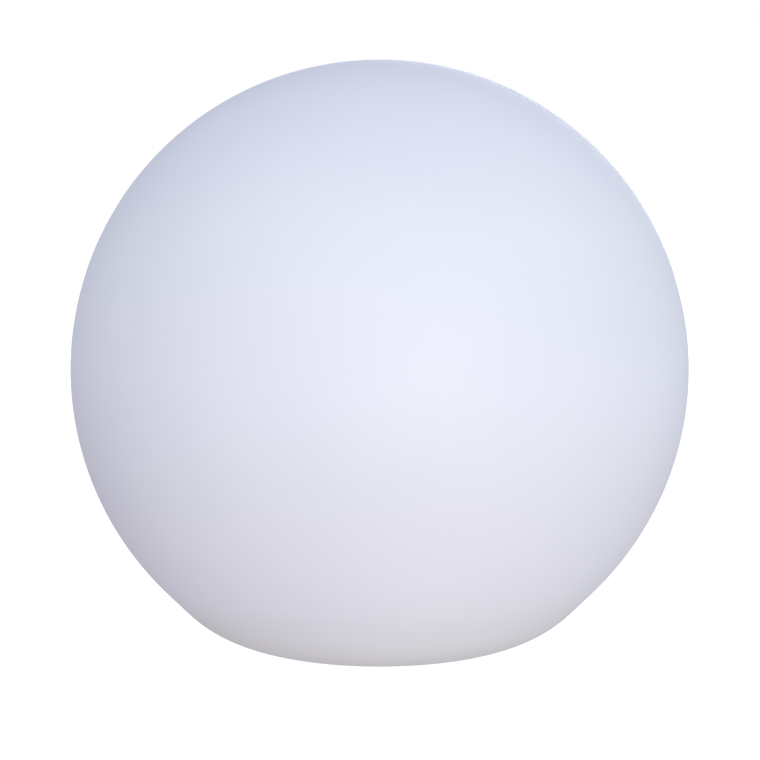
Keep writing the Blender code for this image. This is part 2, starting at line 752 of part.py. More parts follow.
def smooth_route(points, steps):
    """A Catmull-Rom curve through the route's own points."""
    ends = [points[0], *points, points[-1]]
    made = []
    for a, b, c, d in zip(ends, ends[1:], ends[2:], ends[3:]):
        for k in range(steps):
            t = k / steps
            point = []
            for p, q, r, s in zip(a, b, c, d):
                square, cube = 2 * p - 5 * q + 4 * r - s, 3 * q - p - 3 * r + s
                point.append(0.5 * (2 * q + (r - p) * t + square * t**2 + cube * t**3))
            made.append(point)
    return made + [list(points[-1])]


def wire(name, points, radius, mat, cyclic=False, resolution=2):
    curve = bpy.data.curves.new(name, "CURVE")
    curve.dimensions = "3D"
    curve.bevel_depth = radius
    curve.bevel_resolution = resolution
    curve.use_fill_caps = not cyclic
    spline = curve.splines.new("POLY")
    spline.points.add(len(points) - 1)
    for point, co in zip(spline.points, points):
        point.co = (*co, 1)
    spline.use_cyclic_u = cyclic
    curve.materials.append(mat)
    obj = bpy.data.objects.new(name, curve)
    PARTS.objects.link(obj)
    return obj


def make_leads():
    end_x = CELL_LENGTH / 2 + 0.0010
    plug_y = -PLUG_HALF_WIDTH - GAP
    red = [
        (end_x, 0, CELL_Z), (0.0352, -0.0015, 0.0380), (0.0350, -0.0050, 0.0320),
        (0.0330, -0.0082, 0.0292), (0.0310, -0.0072, 0.0284), (0.0310, plug_y, 0.0284),
    ]
    black = [
        (-end_x, 0, CELL_Z), (-0.0352, -0.0020, 0.0375), (-0.0345, -0.0085, 0.0300), (-0.0300, -0.0190, 0.0283),
        (-0.0165, -0.0300, 0.0280), (0, -0.0336, 0.0280), (0.0160, -0.0296, 0.0280), (0.0255, -0.0200, 0.0281),
        (0.0282, -0.0100, 0.0284), (0.0282, plug_y, 0.0284),
    ]
    bundle = [
        (0, 0.0262, LED_BOARD_Z[0] - GAP), (0, 0.0270, 0.0490), (0, 0.0312, 0.0462), (0, 0.0330, 0.0400),
        (0, 0.0325, 0.0335), (0, 0.0300, 0.0290), (0, 0.0290, CONTROL_BOARD_Z[1] + GAP),
    ]
    wire("battery_lead_red", smooth_route(red, 3), LEAD_RADIUS, LEAD_RED)
    wire("battery_lead_black", smooth_route(black, 3), LEAD_RADIUS, LEAD_BLACK)
    wire("led_cable", smooth_route(bundle, 3), LED_CABLE_RADIUS, LEAD_BLACK)


# Push button


def make_button():
    outline = [
        (0, STEM_TOP),
        (STEM_RADIUS - 0.0005, STEM_TOP),
        (STEM_RADIUS, STEM_TOP - 0.0004),
        (STEM_RADIUS, CLIP_GROOVE_Z[1]),
        (STEM_GROOVE, CLIP_GROOVE_Z[1]),
        (STEM_GROOVE, CLIP_GROOVE_Z[0]),
        (STEM_RADIUS, CLIP_GROOVE_Z[0]),
        (STEM_RADIUS, ORING_GROOVE_Z[1]),
        (STEM_GROOVE, ORING_GROOVE_Z[1]),
        (STEM_GROOVE, ORING_GROOVE_Z[0]),
        (STEM_RADIUS, ORING_GROOVE_Z[0]),
        (STEM_RADIUS, CAP_FLOOR),
        (CAP_CAVITY, CAP_FLOOR),
        (CAP_CAVITY, CAP_TOP),
        (CAP_RADIUS - 0.0003, CAP_TOP),
        (CAP_RADIUS, CAP_TOP - 0.0003),
        (CAP_RADIUS, CAP_LOW + 0.0014),
        (CAP_RADIUS - 0.0010, CAP_LOW + 0.0004),
        (0.0060, CAP_LOW + 0.0001),
        (0, CAP_LOW),
    ]
    turned("power_button", outline, SILICONE_GREY, 20, closed=False)
    middle = sum(ORING_GROOVE_Z) / 2
    torus("button_oring", *ORING_RADII, middle, LEAD_BLACK, 16, 6)
    clip = arc(0, 0, CLIP_RADII[1], 30, 330, 12) + arc(0, 0, CLIP_RADII[0], 330, 30, 12)
    bm = bmesh.new()
    add_prism(bm, clip, CLIP_GROOVE_Z[0] + 0.0001, CLIP_GROOVE_Z[1] - 0.0001)
    from_bmesh("button_clip", bm, STAINLESS)


def make_button_spring():
    steps = 10
    count = int(SPRING_TURNS * steps)
    low = CAP_FLOOR + SPRING_WIRE + GAP
    high = WELL_CEILING - SPRING_WIRE - GAP
    points = []
    for k in range(count + 1):
        points.append((*polar(SPRING_RADIUS, 360 * k / steps), low + (high - low) * k / count))
    wire("button_spring", points, SPRING_WIRE, STAINLESS, resolution=1)


def make_switch():
    top = CONTROL_BOARD_Z[0] - GAP
    low = top - SWITCH_HEIGHT
    half = SWITCH_SIDE / 2
    bm = bmesh.new()
    add_box(bm, (-half, -half, low), (half, half, top))
    switch = from_bmesh("tact_switch", bm, FRAME_BLACK)
    bore = bmesh.new()
    add_cylinder(bore, SWITCH_BORE, low - 0.001, top - 0.0003, segments=12)
    boolean(switch, "DIFFERENCE", tool("switch_bore", bore))
    plunger = bmesh.new()
    plunger_low = STEM_TOP + GAP
    add_cylinder(plunger, PLUNGER_RADIUS, plunger_low, plunger_low + PLUNGER_LENGTH, segments=12)
    from_bmesh("switch_plunger", plunger, LEAD_RED)


# Charging port


def make_charge_socket():
    body_low, top = PORT_ROOF_Z + GAP, CONTROL_BOARD_Z[0] - GAP
    half = SOCKET_SIDE / 2
    bm = bmesh.new()
    add_box(bm, (-half, PORT_Y - half, body_low), (half, PORT_Y + half, top))
    socket = from_bmesh("charge_socket", bm, FRAME_BLACK)
    snout, barrel = bmesh.new(), bmesh.new()
    add_cylinder(snout, SNOUT_RADIUS, SNOUT_Z, body_low + 0.001, 0, PORT_Y)
    add_cylinder(barrel, BARREL_RADIUS, SNOUT_Z - 0.001, top - 0.0012, 0, PORT_Y)
    boolean(socket, "UNION", tool("socket_snout", snout))
    boolean(socket, "DIFFERENCE", tool("socket_barrel", barrel))
    pin_top, pin_low = top - 0.0015, SNOUT_Z + 0.0006
    outline = [(0, pin_top), (SOCKET_PIN_RADIUS, pin_top), (SOCKET_PIN_RADIUS, pin_low + 0.0006)]
    outline += [(SOCKET_PIN_RADIUS / 2, pin_low), (0, pin_low)]
    pin = turned("socket_pin", outline, BRASS, 12, closed=False)
    pin.location.y = PORT_Y


def make_port_cover():
    bm = bmesh.new()
    plate = rounded_rectangle(-COVER_HALF_WIDTH, COVER_HALF_WIDTH, *COVER_Y, 0.004)
    add_prism(bm, plate, *COVER_Z)
    cover = from_bmesh("port_cover", bm, HOUSING_WHITE)
    knuckle, tab, bore = bmesh.new(), bmesh.new(), bmesh.new()
    inside = COVER_Y[0] + 0.001
    side = arc(COVER_HINGE_Y, COVER_HINGE_Z, KNUCKLE_RADIUS, 90, 330, 8)
    side += [(inside, COVER_Z[0] + 0.0004), (inside, COVER_HINGE_Z + KNUCKLE_RADIUS)]
    add_prism(knuckle, side, -KNUCKLE_HALF_WIDTH, KNUCKLE_HALF_WIDTH, "X")
    tab_outline = rounded_rectangle(-TAB_HALF_WIDTH, TAB_HALF_WIDTH, COVER_Y[1] - 0.002, COVER_FREE_END, 0.0015)
    add_prism(tab, tab_outline, COVER_Z[0] + 0.0004, COVER_Z[1] - 0.0006)
    add_cylinder_x(bore, HINGE_BORE, KNUCKLE_HALF_WIDTH + 0.001, COVER_HINGE_Y, COVER_HINGE_Z, 12)
    boolean(cover, "UNION", tool("cover_knuckle", knuckle))
    boolean(cover, "UNION", tool("cover_tab", tab))
    boolean(cover, "DIFFERENCE", tool("cover_bore", bore))


def make_port_bung():
    low = COVER_Z[1] + 0.0002
    high = low + BUNG_HEIGHT
    tip, base = BUNG_RADII
    outline = [
        (0, high),
        (tip, high),
        (tip + 0.0006, high - 0.0005),
        (base, low + 0.0006),
        (base, low),
        (0, low),
    ]
    bung = turned("port_bung", outline, SILICONE_GREY, 20, closed=False)
    bung.location.y = PORT_Y


def make_hinge_pin():
    bm = bmesh.new()
    add_cylinder_x(bm, HINGE_PIN_RADIUS, LUG_X[1] + 0.0004, COVER_HINGE_Y, COVER_HINGE_Z, 12)
    from_bmesh("port_hinge_pin", bm, STAINLESS)


def make_indicator_pipe():
    top = CONTROL_BOARD_Z[0] - 2 * GAP
    outline = [
        (0, top),
        (PIPE_RADIUS, top),
        (PIPE_RADIUS, PLATE_UNDER),
        (PIPE_RADIUS - 0.0005, PLATE_UNDER - 0.0004),
        (0, PLATE_UNDER - 0.0006),
    ]
    pipe = turned("indicator_pipe", outline, CLEAR_ACRYLIC, 12, closed=False)
    pipe.location = (PIPE_X, PIPE_Y, 0)


# Tether


def make_tether_ring():
    """A straight hinge bar closed by half an ellipse, with its origin on the bar."""
    x = RING_HALF_WIDTH - RING_CORNER
    outline = arc(x, RING_CORNER, RING_CORNER, -90, 0, 3)
    rise = RING_REACH - RING_Y - RING_CORNER
    for k in range(1, 12):
        c, s = polar(1.0, 15 * k)
        outline.append((RING_HALF_WIDTH * c, RING_CORNER + rise * s))
    outline += arc(-x, RING_CORNER, RING_CORNER, 180, 270, 3)
    ring = wire("tether_ring", [(u, v, 0) for u, v in outline], RING_WIRE, STAINLESS, cyclic=True)
    ring.location = (0, RING_Y, RING_Z)
    ring.rotation_euler.x = -RING_DROOP


def make_tether_saddle():
    """A strap with two wings, bent round the ring's bar in a U that is open towards the plate."""
    low, high = SADDLE_Z
    wing_low, wing_high = RING_Y - SADDLE_WING, RING_Y + SADDLE_WING
    outline = [(wing_low, high), (RING_Y - SADDLE_INNER, high)]
    outline += arc(RING_Y, RING_Z, SADDLE_INNER, 180, 360, 8)
    outline += [(RING_Y + SADDLE_INNER, high), (wing_high, high)]
    outline += [(wing_high, low), (RING_Y + SADDLE_OUTER, low)]
    outline += arc(RING_Y, RING_Z, SADDLE_OUTER, 360, 180, 8)
    outline += [(RING_Y - SADDLE_OUTER, low), (wing_low, low)]
    bm = bmesh.new()
    add_prism(bm, outline, -SADDLE_HALF_WIDTH, SADDLE_HALF_WIDTH, "X")
    saddle = from_bmesh("tether_saddle", bm, STAINLESS)
    holes = bmesh.new()
    for x, y in saddle_screw_places():
        add_cylinder(holes, SMALL_HOLE, low - 0.001, high + 0.001, x, y, 12)
    boolean(saddle, "DIFFERENCE", tool("saddle_holes", holes))


make_globe()
make_inserts()
make_gasket()
make_screws()
make_module_base()
make_lens()
make_lens_seal()
make_led_board()
make_leds()
make_ir_receiver()
make_control_board()
make_frame()
make_battery()
make_battery_strap()
make_battery_plug()
make_leads()
make_button()
make_button_spring()
make_switch()
make_charge_socket()
make_port_cover()
make_port_bung()
make_hinge_pin()
make_indicator_pipe()
make_tether_ring()
make_tether_saddle()
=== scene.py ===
"""Looks of the floating pool light: a smooth milky globe, and the detailed light module under its foot."""

import math

import bmesh
import bpy
from mathutils import Matrix, Vector


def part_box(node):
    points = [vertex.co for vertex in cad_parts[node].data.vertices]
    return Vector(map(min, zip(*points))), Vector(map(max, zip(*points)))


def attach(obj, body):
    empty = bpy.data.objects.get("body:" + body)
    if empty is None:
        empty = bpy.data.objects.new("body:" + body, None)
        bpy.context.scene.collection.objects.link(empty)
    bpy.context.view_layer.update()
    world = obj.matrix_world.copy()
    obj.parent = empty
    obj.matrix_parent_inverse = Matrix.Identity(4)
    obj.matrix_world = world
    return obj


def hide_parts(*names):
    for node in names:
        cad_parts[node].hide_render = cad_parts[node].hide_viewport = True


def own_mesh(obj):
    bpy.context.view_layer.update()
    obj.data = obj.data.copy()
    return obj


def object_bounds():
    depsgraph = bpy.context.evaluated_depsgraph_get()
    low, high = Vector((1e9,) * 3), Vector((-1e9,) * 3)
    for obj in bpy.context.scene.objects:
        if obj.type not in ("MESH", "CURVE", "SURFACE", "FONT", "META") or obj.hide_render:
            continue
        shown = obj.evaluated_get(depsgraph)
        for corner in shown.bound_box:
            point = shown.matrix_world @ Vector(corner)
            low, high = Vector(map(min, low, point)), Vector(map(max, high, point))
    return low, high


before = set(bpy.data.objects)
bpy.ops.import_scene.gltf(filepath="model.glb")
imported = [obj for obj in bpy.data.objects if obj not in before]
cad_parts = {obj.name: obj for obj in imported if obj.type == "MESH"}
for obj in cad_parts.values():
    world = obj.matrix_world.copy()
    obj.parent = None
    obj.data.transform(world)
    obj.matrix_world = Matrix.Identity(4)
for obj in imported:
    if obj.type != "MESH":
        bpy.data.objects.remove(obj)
cad_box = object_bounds()

# Globe, in metres, as in the CAD model
GLOBE_RADIUS = cad_box[1].x
GLOBE_HEIGHT = cad_box[1].z
CENTRE_Z = GLOBE_HEIGHT - GLOBE_RADIUS
WALL = 0.0035
FLANK_DEG = 45.5
FOOT_FILLET = 0.068
POCKET_MOUTH_RADIUS = 0.053
POCKET_LIP = 0.003
POCKET_CORNER = 0.002
SEAT_RADIUS = 0.0495
SEAT_Z = 0.015
OPENING_RADIUS = 0.041
OPENING_EDGE = 0.0008
GLOBE_SEGMENTS = 192
BOSS_RADIUS = 0.0045
BOSS_HEIGHT = 0.0135
INSERT_POCKET_RADIUS = 0.0032

# Module
GAP = 0.0003
PLATE_UNDER = 0.009
PLATE_TOP = 0.012
FLANGE_TOP = 0.0127
FLANGE_RADIUS = 0.051
CUP_OUTER = 0.040
CUP_INNER = 0.0375
RIM_Z = 0.055
SEAL_GROOVE_DEPTH = 0.001
WELL_RADIUS = 0.0108
WELL_OUTER = 0.0130
WELL_CEILING = 0.015
WELL_ROOF = 0.017
GUIDE_RADIUS = 0.0046
GUIDE_BORE = 0.0028
CAP_RADIUS = 0.0104
CAP_LOW = 0.0070
CAP_FLOOR = 0.0092
SKIRT_TOP = 0.0125
PORT_Y = -0.027
PORT = [(0, PORT_Y)]
PORT_WELL_RADIUS = 0.0065
PORT_FLOOR_Z = 0.0158
PORT_ROOF_Z = 0.0173
SNOUT_RADIUS = 0.0040
HINGE_Y, HINGE_Z = -0.0385, 0.0065
HINGE_BORE = 0.00105
LUG_X = (0.0068, 0.0098)
COVER_Z = (0.0064, 0.0086)
BOLT_SIGN_Y = -0.0285
RING_Y, RING_Z = 0.023, 0.006
SADDLE_Z = (0.0077, 0.0087)
PIPE_X, PIPE_Y = 0.016, -0.022
PIPE_BORE = 0.00165
CONTROL_BOARD_Z = (0.0243, 0.0259)
DECK_Z = (0.0292, 0.0310)
LED_BOARD_Z = (0.0510, 0.0526)
LENS_FLANGE_Z = (0.0556, 0.0576)
CELL_RADIUS, CELL_Z = 0.0092, 0.0406
SCREW_CLEARANCE = 0.0016
SMALL_BORE = 0.00135
SOLDER_FILM = 0.00006
OVERRUN = 0.001
MODULE_SEGMENTS = 144

# Places of the screws and posts that repeat about the middle, as (x, y) of the first quarter
BOARD_POST = (0.020, 0.014)
LED_POST = (0.014, 0.022)

SHARP_ANGLE = math.radians(32)
ACRYLIC_IOR = 1.49
ON_AXIS = 0.000001
SAME_POINT = 0.000001
SAME_HEIGHT = 0.0000001
SLIVER = 0.0000002

# View: distance and height follow from how much of the foot shows
VIEW_ELEVATION = 7.0
VIEW_DISTANCE = 7.0 * GLOBE_RADIUS
VIEW_TARGET = (0.0002, 0, CENTRE_Z - 0.0063)
LENS_MM, SENSOR_MM = 101.5, 36.0

# Light: the room goes from the first colour to the second along its axis, which leans to the right
ROOM_AXIS = (0.31, 0.0, 0.95)
ROOM_COLOURS = ((0.0, (0.330, 0.300, 0.345)), (1.0, (0.470, 0.540, 0.560)))
FLOOR_RADIUS, FLOOR_Z = 6.0, -0.0002

# The globe's inner light, by share of its height: dim and warm at the foot, bluish above. The warm foot and
# blue top also paint the tint of the room's light, warm from below and blue from above
GLOW = ((0.0, (0.25, 0.20, 0.12)), (0.05, (0.35, 0.29, 0.23)), (0.12, (0.50, 0.46, 0.56)),
        (0.28, (0.57, 0.52, 0.67)), (0.50, (0.77, 0.75, 0.94)), (0.72, (0.71, 0.73, 0.95)),
        (1.0, (0.54, 0.50, 0.86)))


# Shapes


def polar(radius, degrees):
    angle = math.radians(degrees)
    return radius * math.cos(angle), radius * math.sin(angle)


def arc(centre_x, centre_y, radius, start, end, steps):
    points = []
    for k in range(steps + 1):
        x, y = polar(radius, start + (end - start) * k / steps)
        points.append((centre_x + x, centre_y + y))
    return points


def softened(points, radius, steps=3, closed=True):
    """Rounds each corner of an outline, as far as its two sides allow."""
    nearly_straight = math.radians(80)
    made = []
    count = len(points)
    for k, point in enumerate(points):
        if not closed and k in (0, count - 1):
            made.append(point)
            continue
        here = Vector(point)
        before = Vector(points[k - 1]) - here
        after = Vector(points[(k + 1) % count]) - here
        half_turn = before.angle(after) / 2
        if half_turn > nearly_straight:
            made.append(point)
            continue
        reach = min(radius / math.tan(half_turn), 0.45 * before.length, 0.45 * after.length)
        first, last = here + before.normalized() * reach, here + after.normalized() * reach
        for i in range(steps + 1):
            t = i / steps
            made.append(tuple(first * (1 - t) ** 2 + here * 2 * t * (1 - t) + last * t**2))
    return made


def lathe(outline, segments):
    """Turns an outline of (radius, z) points about Z: a ring, or a solid if its ends are on the axis."""
    bm = bmesh.new()
    rings = []
    for radius, z in outline:
        around = segments if radius > ON_AXIS else 1
        rings.append([bm.verts.new((*polar(max(radius, 0), 360 * k / around), z)) for k in range(around)])
    for a, b in zip(rings, rings[1:] + rings[:1]):
        for k in range(segments):
            n = k + 1
            quad = [a[k % len(a)], b[k % len(b)], b[n % len(b)], a[n % len(a)]]
            quad = list(dict.fromkeys(quad))
            if len(quad) > 2:
                bm.faces.new(quad)
    bmesh.ops.recalc_face_normals(bm, faces=bm.faces)
    return bm


def prism(outline, start, end, bevel=0.0, axis="Z"):
    """An outline pushed along Z, or along X for an outline of (y, z), with both rims rounded."""
    bm = bmesh.new()
    face = bm.faces.new([bm.verts.new((u, v, start)) for u, v in outline])
    pushed = bmesh.ops.extrude_face_region(bm, geom=[face], use_keep_orig=True)
    verts = [g for g in pushed["geom"] if isinstance(g, bmesh.types.BMVert)]
    bmesh.ops.translate(bm, verts=verts, vec=(0, 0, end - start))
    bmesh.ops.recalc_face_normals(bm, faces=bm.faces)
    if bevel:
        rims = [e for e in bm.edges if abs(e.verts[0].co.z - e.verts[1].co.z) < SAME_HEIGHT]
        rounding = {"segments": 3, "profile": 0.5, "affect": "EDGES", "clamp_overlap": True}
        bmesh.ops.bevel(bm, geom=rims, offset=bevel, **rounding)
    if axis == "X":
        bm.transform(Matrix(((0, 0, 1, 0), (1, 0, 0, 0), (0, 1, 0, 0), (0, 0, 0, 1))))
    return bm


def box(low, high, bevel):
    outline = [(low[0], low[1]), (high[0], low[1]), (high[0], high[1]), (low[0], high[1])]
    return prism(softened(outline, 1.3 * bevel), low[2], high[2], bevel)


def moved(bm, x=0.0, y=0.0, z=0.0, turn=0.0):
    bm.transform(Matrix.Translation((x, y, z)) @ Matrix.Rotation(math.radians(turn), 4, "Z"))
    return bm


def along_x(outline, segments, y, z):
    """A turned shape that lies along X."""
    bm = lathe(outline, segments)
    bm.transform(Matrix.Translation((0, y, z)) @ Matrix.Rotation(math.pi / 2, 4, "Y"))
    return bm


def rounded_rectangle(x_low, x_high, y_low, y_high, radius, steps=8):
    points = []
    corner_starts = ((x_high, y_high, 0), (x_low, y_high, 90), (x_low, y_low, 180), (x_high, y_low, 270))
    for x, y, start in corner_starts:
        inward_x = x - radius if x == x_high else x + radius
        inward_y = y - radius if y == y_high else y + radius
        points += arc(inward_x, inward_y, radius, start, start + 90, steps)
    return points


def rod(radius, low, high, edge=0.0, flare=0.0):
    """Outline of a solid rod, with its top edge rounded and its foot flared by a fillet."""
    top = [(0, high), (radius - edge, high)]
    if edge:
        top += arc(radius - edge, high - edge, edge, 90, 0, 4)[1:]
    foot = arc(radius + flare, low + flare, flare, 180, 270, 5) if flare else [(radius, low)]
    return top + foot + [(0, low)]


def drill(radius, low, high, chamfer=0.0, upwards=True):
    """Outline of a drill that enters at its low end, or at its high end, through a chamfered mouth."""
    mouth = radius + chamfer + OVERRUN
    if upwards:
        entry = low - OVERRUN
        return [(0, high), (radius, high), (radius, low + chamfer), (mouth, entry), (0, entry)]
    entry = high + OVERRUN
    return [(0, entry), (mouth, entry), (radius, high - chamfer), (radius, low), (0, low)]


def stood(outline, places, segments=40):
    """The same turned shape at several places."""
    return [moved(lathe(outline, segments), *place) for place in places]


def through(radius, low, high, places, segments=32):
    """Straight drills that pass through all that lies between two heights."""
    return stood(rod(radius, low - OVERRUN, high + OVERRUN), places, segments)


def corners(x, y):
    return [(x, y), (-x, y), (-x, -y), (x, -y)]


def ring_points(radius, z, count):
    return [(*polar(radius, 360 * k / count), z) for k in range(count)]


def stored(name, bm):
    mesh = bpy.data.meshes.new(name)
    bm.to_mesh(mesh)
    bm.free()
    return mesh


def joined(shapes):
    """One bmesh that holds several, which don't touch."""
    whole = bmesh.new()
    for shape in shapes:
        mesh = stored("part", shape)
        whole.from_mesh(mesh)
        bpy.data.meshes.remove(mesh)
    return whole


def in_scene(name, data):
    obj = bpy.data.objects.new(name, data)
    bpy.context.scene.collection.objects.link(obj)
    return obj


def new_object(name, bm):
    return in_scene(name, stored(name, bm))


def carve(obj, tool_shape, operation="DIFFERENCE"):
    """Cuts the tool out of the object, or joins it on, and takes out the slivers that this can leave."""
    tool = new_object("tool", tool_shape)
    modifier = obj.modifiers.new("carve", "BOOLEAN")
    modifier.operation = operation
    modifier.object = tool
    bm = bmesh.new()
    bm.from_object(obj, bpy.context.evaluated_depsgraph_get())
    bmesh.ops.dissolve_degenerate(bm, edges=bm.edges, dist=SLIVER)
    obj.modifiers.clear()
    obj.data = stored(obj.name, bm)
    bpy.data.objects.remove(tool)


def wire(name, points, radius, cyclic=False, roundness=5):
    """A round tube along the points, as a closed mesh."""
    curve = bpy.data.curves.new(name, "CURVE")
    curve.dimensions = "3D"
    curve.bevel_depth = radius
    curve.bevel_resolution = roundness
    curve.use_fill_caps = not cyclic
    spline = curve.splines.new("POLY")
    spline.points.add(len(points) - 1)
    for point, co in zip(spline.points, points):
        point.co = (*co, 1)
    spline.use_cyclic_u = cyclic
    tube = in_scene(name, curve)
    mesh = bpy.data.meshes.new_from_object(tube.evaluated_get(bpy.context.evaluated_depsgraph_get()))
    bpy.data.objects.remove(tube)
    bm = bmesh.new()
    bm.from_mesh(mesh)
    bpy.data.meshes.remove(mesh)
    bmesh.ops.remove_doubles(bm, verts=bm.verts, dist=SAME_POINT)
    return new_object(name, bm)


def smooth_route(points, steps):
    """A Catmull-Rom curve through the route's own points."""
    ends = [points[0], *points, points[-1]]
    made = []
    for a, b, c, d in zip(ends, ends[1:], ends[2:], ends[3:]):
        for k in range(steps):
            t = k / steps
            point = []
            for p, q, r, s in zip(a, b, c, d):
                square, cube = 2 * p - 5 * q + 4 * r - s, 3 * q - p - 3 * r + s
                point.append(0.5 * (2 * q + (r - p) * t + square * t**2 + cube * t**3))
            made.append(tuple(point))
    return made + [tuple(points[-1])]


# Pieces, and what the CAD model says of their nodes


def finish(obj, look, *nodes, body="root"):
    """Gives a piece the material of its look and its body, and hides the nodes it stands for."""
    material, slot = look
    obj.data.materials.clear()
    obj.data.materials.append(material)
    obj.data.shade_smooth()
    obj.data.set_sharp_from_angle(angle=SHARP_ANGLE)
    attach(obj, body)
    if nodes:
        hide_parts(*nodes)


def add_piece(name, shape, look, *nodes, body="root", at=(0, 0, 0), adds=(), cuts=()):
    """Makes a piece. Each list of shapes in adds is joined on, and then each list in cuts is cut out."""
    piece = new_object(name, shape)
    for shapes in adds:
        carve(piece, joined(shapes), "UNION")
    for shapes in cuts:
        carve(piece, joined(shapes))
    piece.location = at
    finish(piece, look, *nodes, body=body)


def add_copies(first, nodes, suffix, z, look, flip=0.0):
    """Puts copies of a piece, which share its mesh, in the places of CAD nodes."""
    for node in nodes:
        copy = in_scene(f"{node}_{suffix}", first.data)
        copy.location = (*centre_of(node), z)
        copy.rotation_euler.x = flip
        finish(copy, look, node)
    bpy.data.objects.remove(first)


def heights_of(node):
    low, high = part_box(node)
    return low.z, high.z


def centre_of(node):
    low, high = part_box(node)
    return (low.x + high.x) / 2, (low.y + high.y) / 2


def places_of(stem, count):
    return [centre_of(f"{stem}_{k}") for k in range(1, count + 1)]


# Materials


def connect(node, inputs):
    """Fills a node's inputs, by name or number. A socket is linked, and anything else is set as a value."""
    for name, value in dict(inputs).items():
        if isinstance(value, bpy.types.NodeSocket):
            node.id_data.links.new(value, node.inputs[name])
        else:
            node.inputs[name].default_value = value


def add_node(tree, kind, inputs=(), **settings):
    node = tree.nodes.new("ShaderNode" + kind)
    for name, value in settings.items():
        setattr(node, name, value)
    connect(node, inputs)
    return node.outputs


def add_ramp(tree, factor, stops):
    """Colours at places along a factor. A stop is (place, colour)."""
    output = add_node(tree, "ValToRGB", {"Fac": factor})["Color"]
    elements = output.node.color_ramp.elements
    while len(elements) < len(stops):
        elements.new(0.5)
    for element, (place, colour) in zip(elements, stops):
        element.position = place
        element.color = (*colour, 1)
    return output


class Surface:
    """A material with a Principled shader, to which patterns are added in object space."""

    def __init__(self, name, colour, roughness, metallic=0.0):
        self.material = bpy.data.materials.new(name)
        self.material.use_nodes = True
        self.tree = self.material.node_tree
        self.shader = self.tree.nodes["Principled BSDF"]
        self.set({"Base Color": (*colour, 1), "Roughness": roughness, "Metallic": metallic})
        self.place = self.node("TexCoord")["Object"]
        self.relief = {}

    def set(self, inputs):
        connect(self.shader, inputs)

    def node(self, kind, inputs=(), **settings):
        return add_node(self.tree, kind, inputs, **settings)

    def noise(self, scale, detail=3.0, rough=0.5, stretch=None):
        place = self.place
        if stretch:
            place = self.node("Mapping", {"Vector": place, "Scale": stretch})["Vector"]
        inputs = {"Vector": place, "Scale": scale, "Detail": detail, "Roughness": rough}
        return self.node("TexNoise", inputs)["Fac"]

    def pattern(self, kind, scale, output="Fac", **settings):
        return self.node(kind, {"Vector": self.place, "Scale": scale}, **settings)[output]

    def span(self, factor, low, high, from_low=0.3, from_high=0.7):
        return self.node("MapRange", {"Value": factor, "From Min": from_low, "From Max": from_high,
                                      "To Min": low, "To Max": high})["Result"]

    def math(self, operation, *values):
        return self.node("Math", enumerate(values), operation=operation)["Value"]

    def colours(self, factor, *stops):
        self.set({"Base Color": add_ramp(self.tree, factor, stops)})

    def roughness(self, factor, low, high):
        self.set({"Roughness": self.span(factor, low, high)})

    def bump(self, factor, distance, strength=1.0):
        """Adds relief to any that the surface has already."""
        inputs = {"Distance": distance, "Strength": strength, "Height": factor, **self.relief}
        self.relief = {"Normal": self.node("Bump", inputs)["Normal"]}
        self.set(self.relief)


def moulded_surface(name, colour, roughness, grain=1400.0, depth=0.00003, shift=0.03):
    """A moulded plastic: a slightly uneven colour and a fine grain."""
    surface = Surface(name, colour, roughness)
    darker = tuple(max(0.0, c * (1 - shift)) for c in colour)
    lighter = tuple(min(1.0, c * (1 + shift)) for c in colour)
    surface.colours(surface.noise(60, 4), (0.35, darker), (0.65, lighter))
    surface.roughness(surface.noise(300), roughness - 0.05, roughness + 0.07)
    surface.bump(surface.noise(grain, 2), depth)
    return surface


def moulded(*settings):
    return moulded_surface(*settings).material


def rubber(name, colour, roughness=0.6):
    surface = moulded_surface(name, colour, roughness, 2200.0, 0.00003, 0.06)
    surface.set({"Sheen Weight": 0.15, "Sheen Roughness": 0.5})
    return surface.material


def globe_plastic():
    """Rotomoulded polyethylene, milky, softly lit from inside, with a faintly uneven wall. Its glow also
    paints the room's tint, warm at the foot and blue above.
    """
    surface = Surface("globe_plastic", (0.83, 0.85, 0.91), 0.55)
    surface.colours(surface.noise(9, 3, 0.45), (0.3, (0.800, 0.822, 0.892)), (0.7, (0.832, 0.850, 0.912)))
    surface.roughness(surface.noise(140), 0.50, 0.60)
    surface.bump(surface.noise(38, 2, 0.4), 0.00012, 0.6)
    surface.bump(surface.noise(900, 2, 0.5), 0.00003, 0.5)
    place = surface.node("SeparateXYZ", {"Vector": surface.place})
    # Inner light by height, which also paints the room's tint: warm at the foot, blue above
    glow = add_ramp(surface.tree, surface.span(place["Z"], 0.0, 1.0, 0.0, GLOBE_HEIGHT), GLOW)
    surface.set({"Specular IOR Level": 0.25, "Emission Color": glow, "Emission Strength": 0.23})
    return surface.material


def stainless():
    """Brushed along X."""
    surface = Surface("brushed_stainless", (0.62, 0.62, 0.60), 0.28, 1.0)
    surface.colours(surface.noise(400), (0.3, (0.56, 0.56, 0.545)), (0.7, (0.66, 0.66, 0.645)))
    surface.roughness(surface.noise(900, 4, 0.6, (0.12, 1, 1)), 0.18, 0.36)
    surface.bump(surface.noise(2600, 3, 0.6, (0.08, 1, 1)), 0.00001, 0.6)
    return surface.material


def brass():
    surface = Surface("machined_brass", (0.78, 0.58, 0.26), 0.3, 1.0)
    surface.colours(surface.noise(500), (0.3, (0.66, 0.47, 0.19)), (0.7, (0.82, 0.62, 0.30)))
    surface.roughness(surface.noise(1500, 3, 0.6, (1, 1, 0.1)), 0.2, 0.4)
    return surface.material


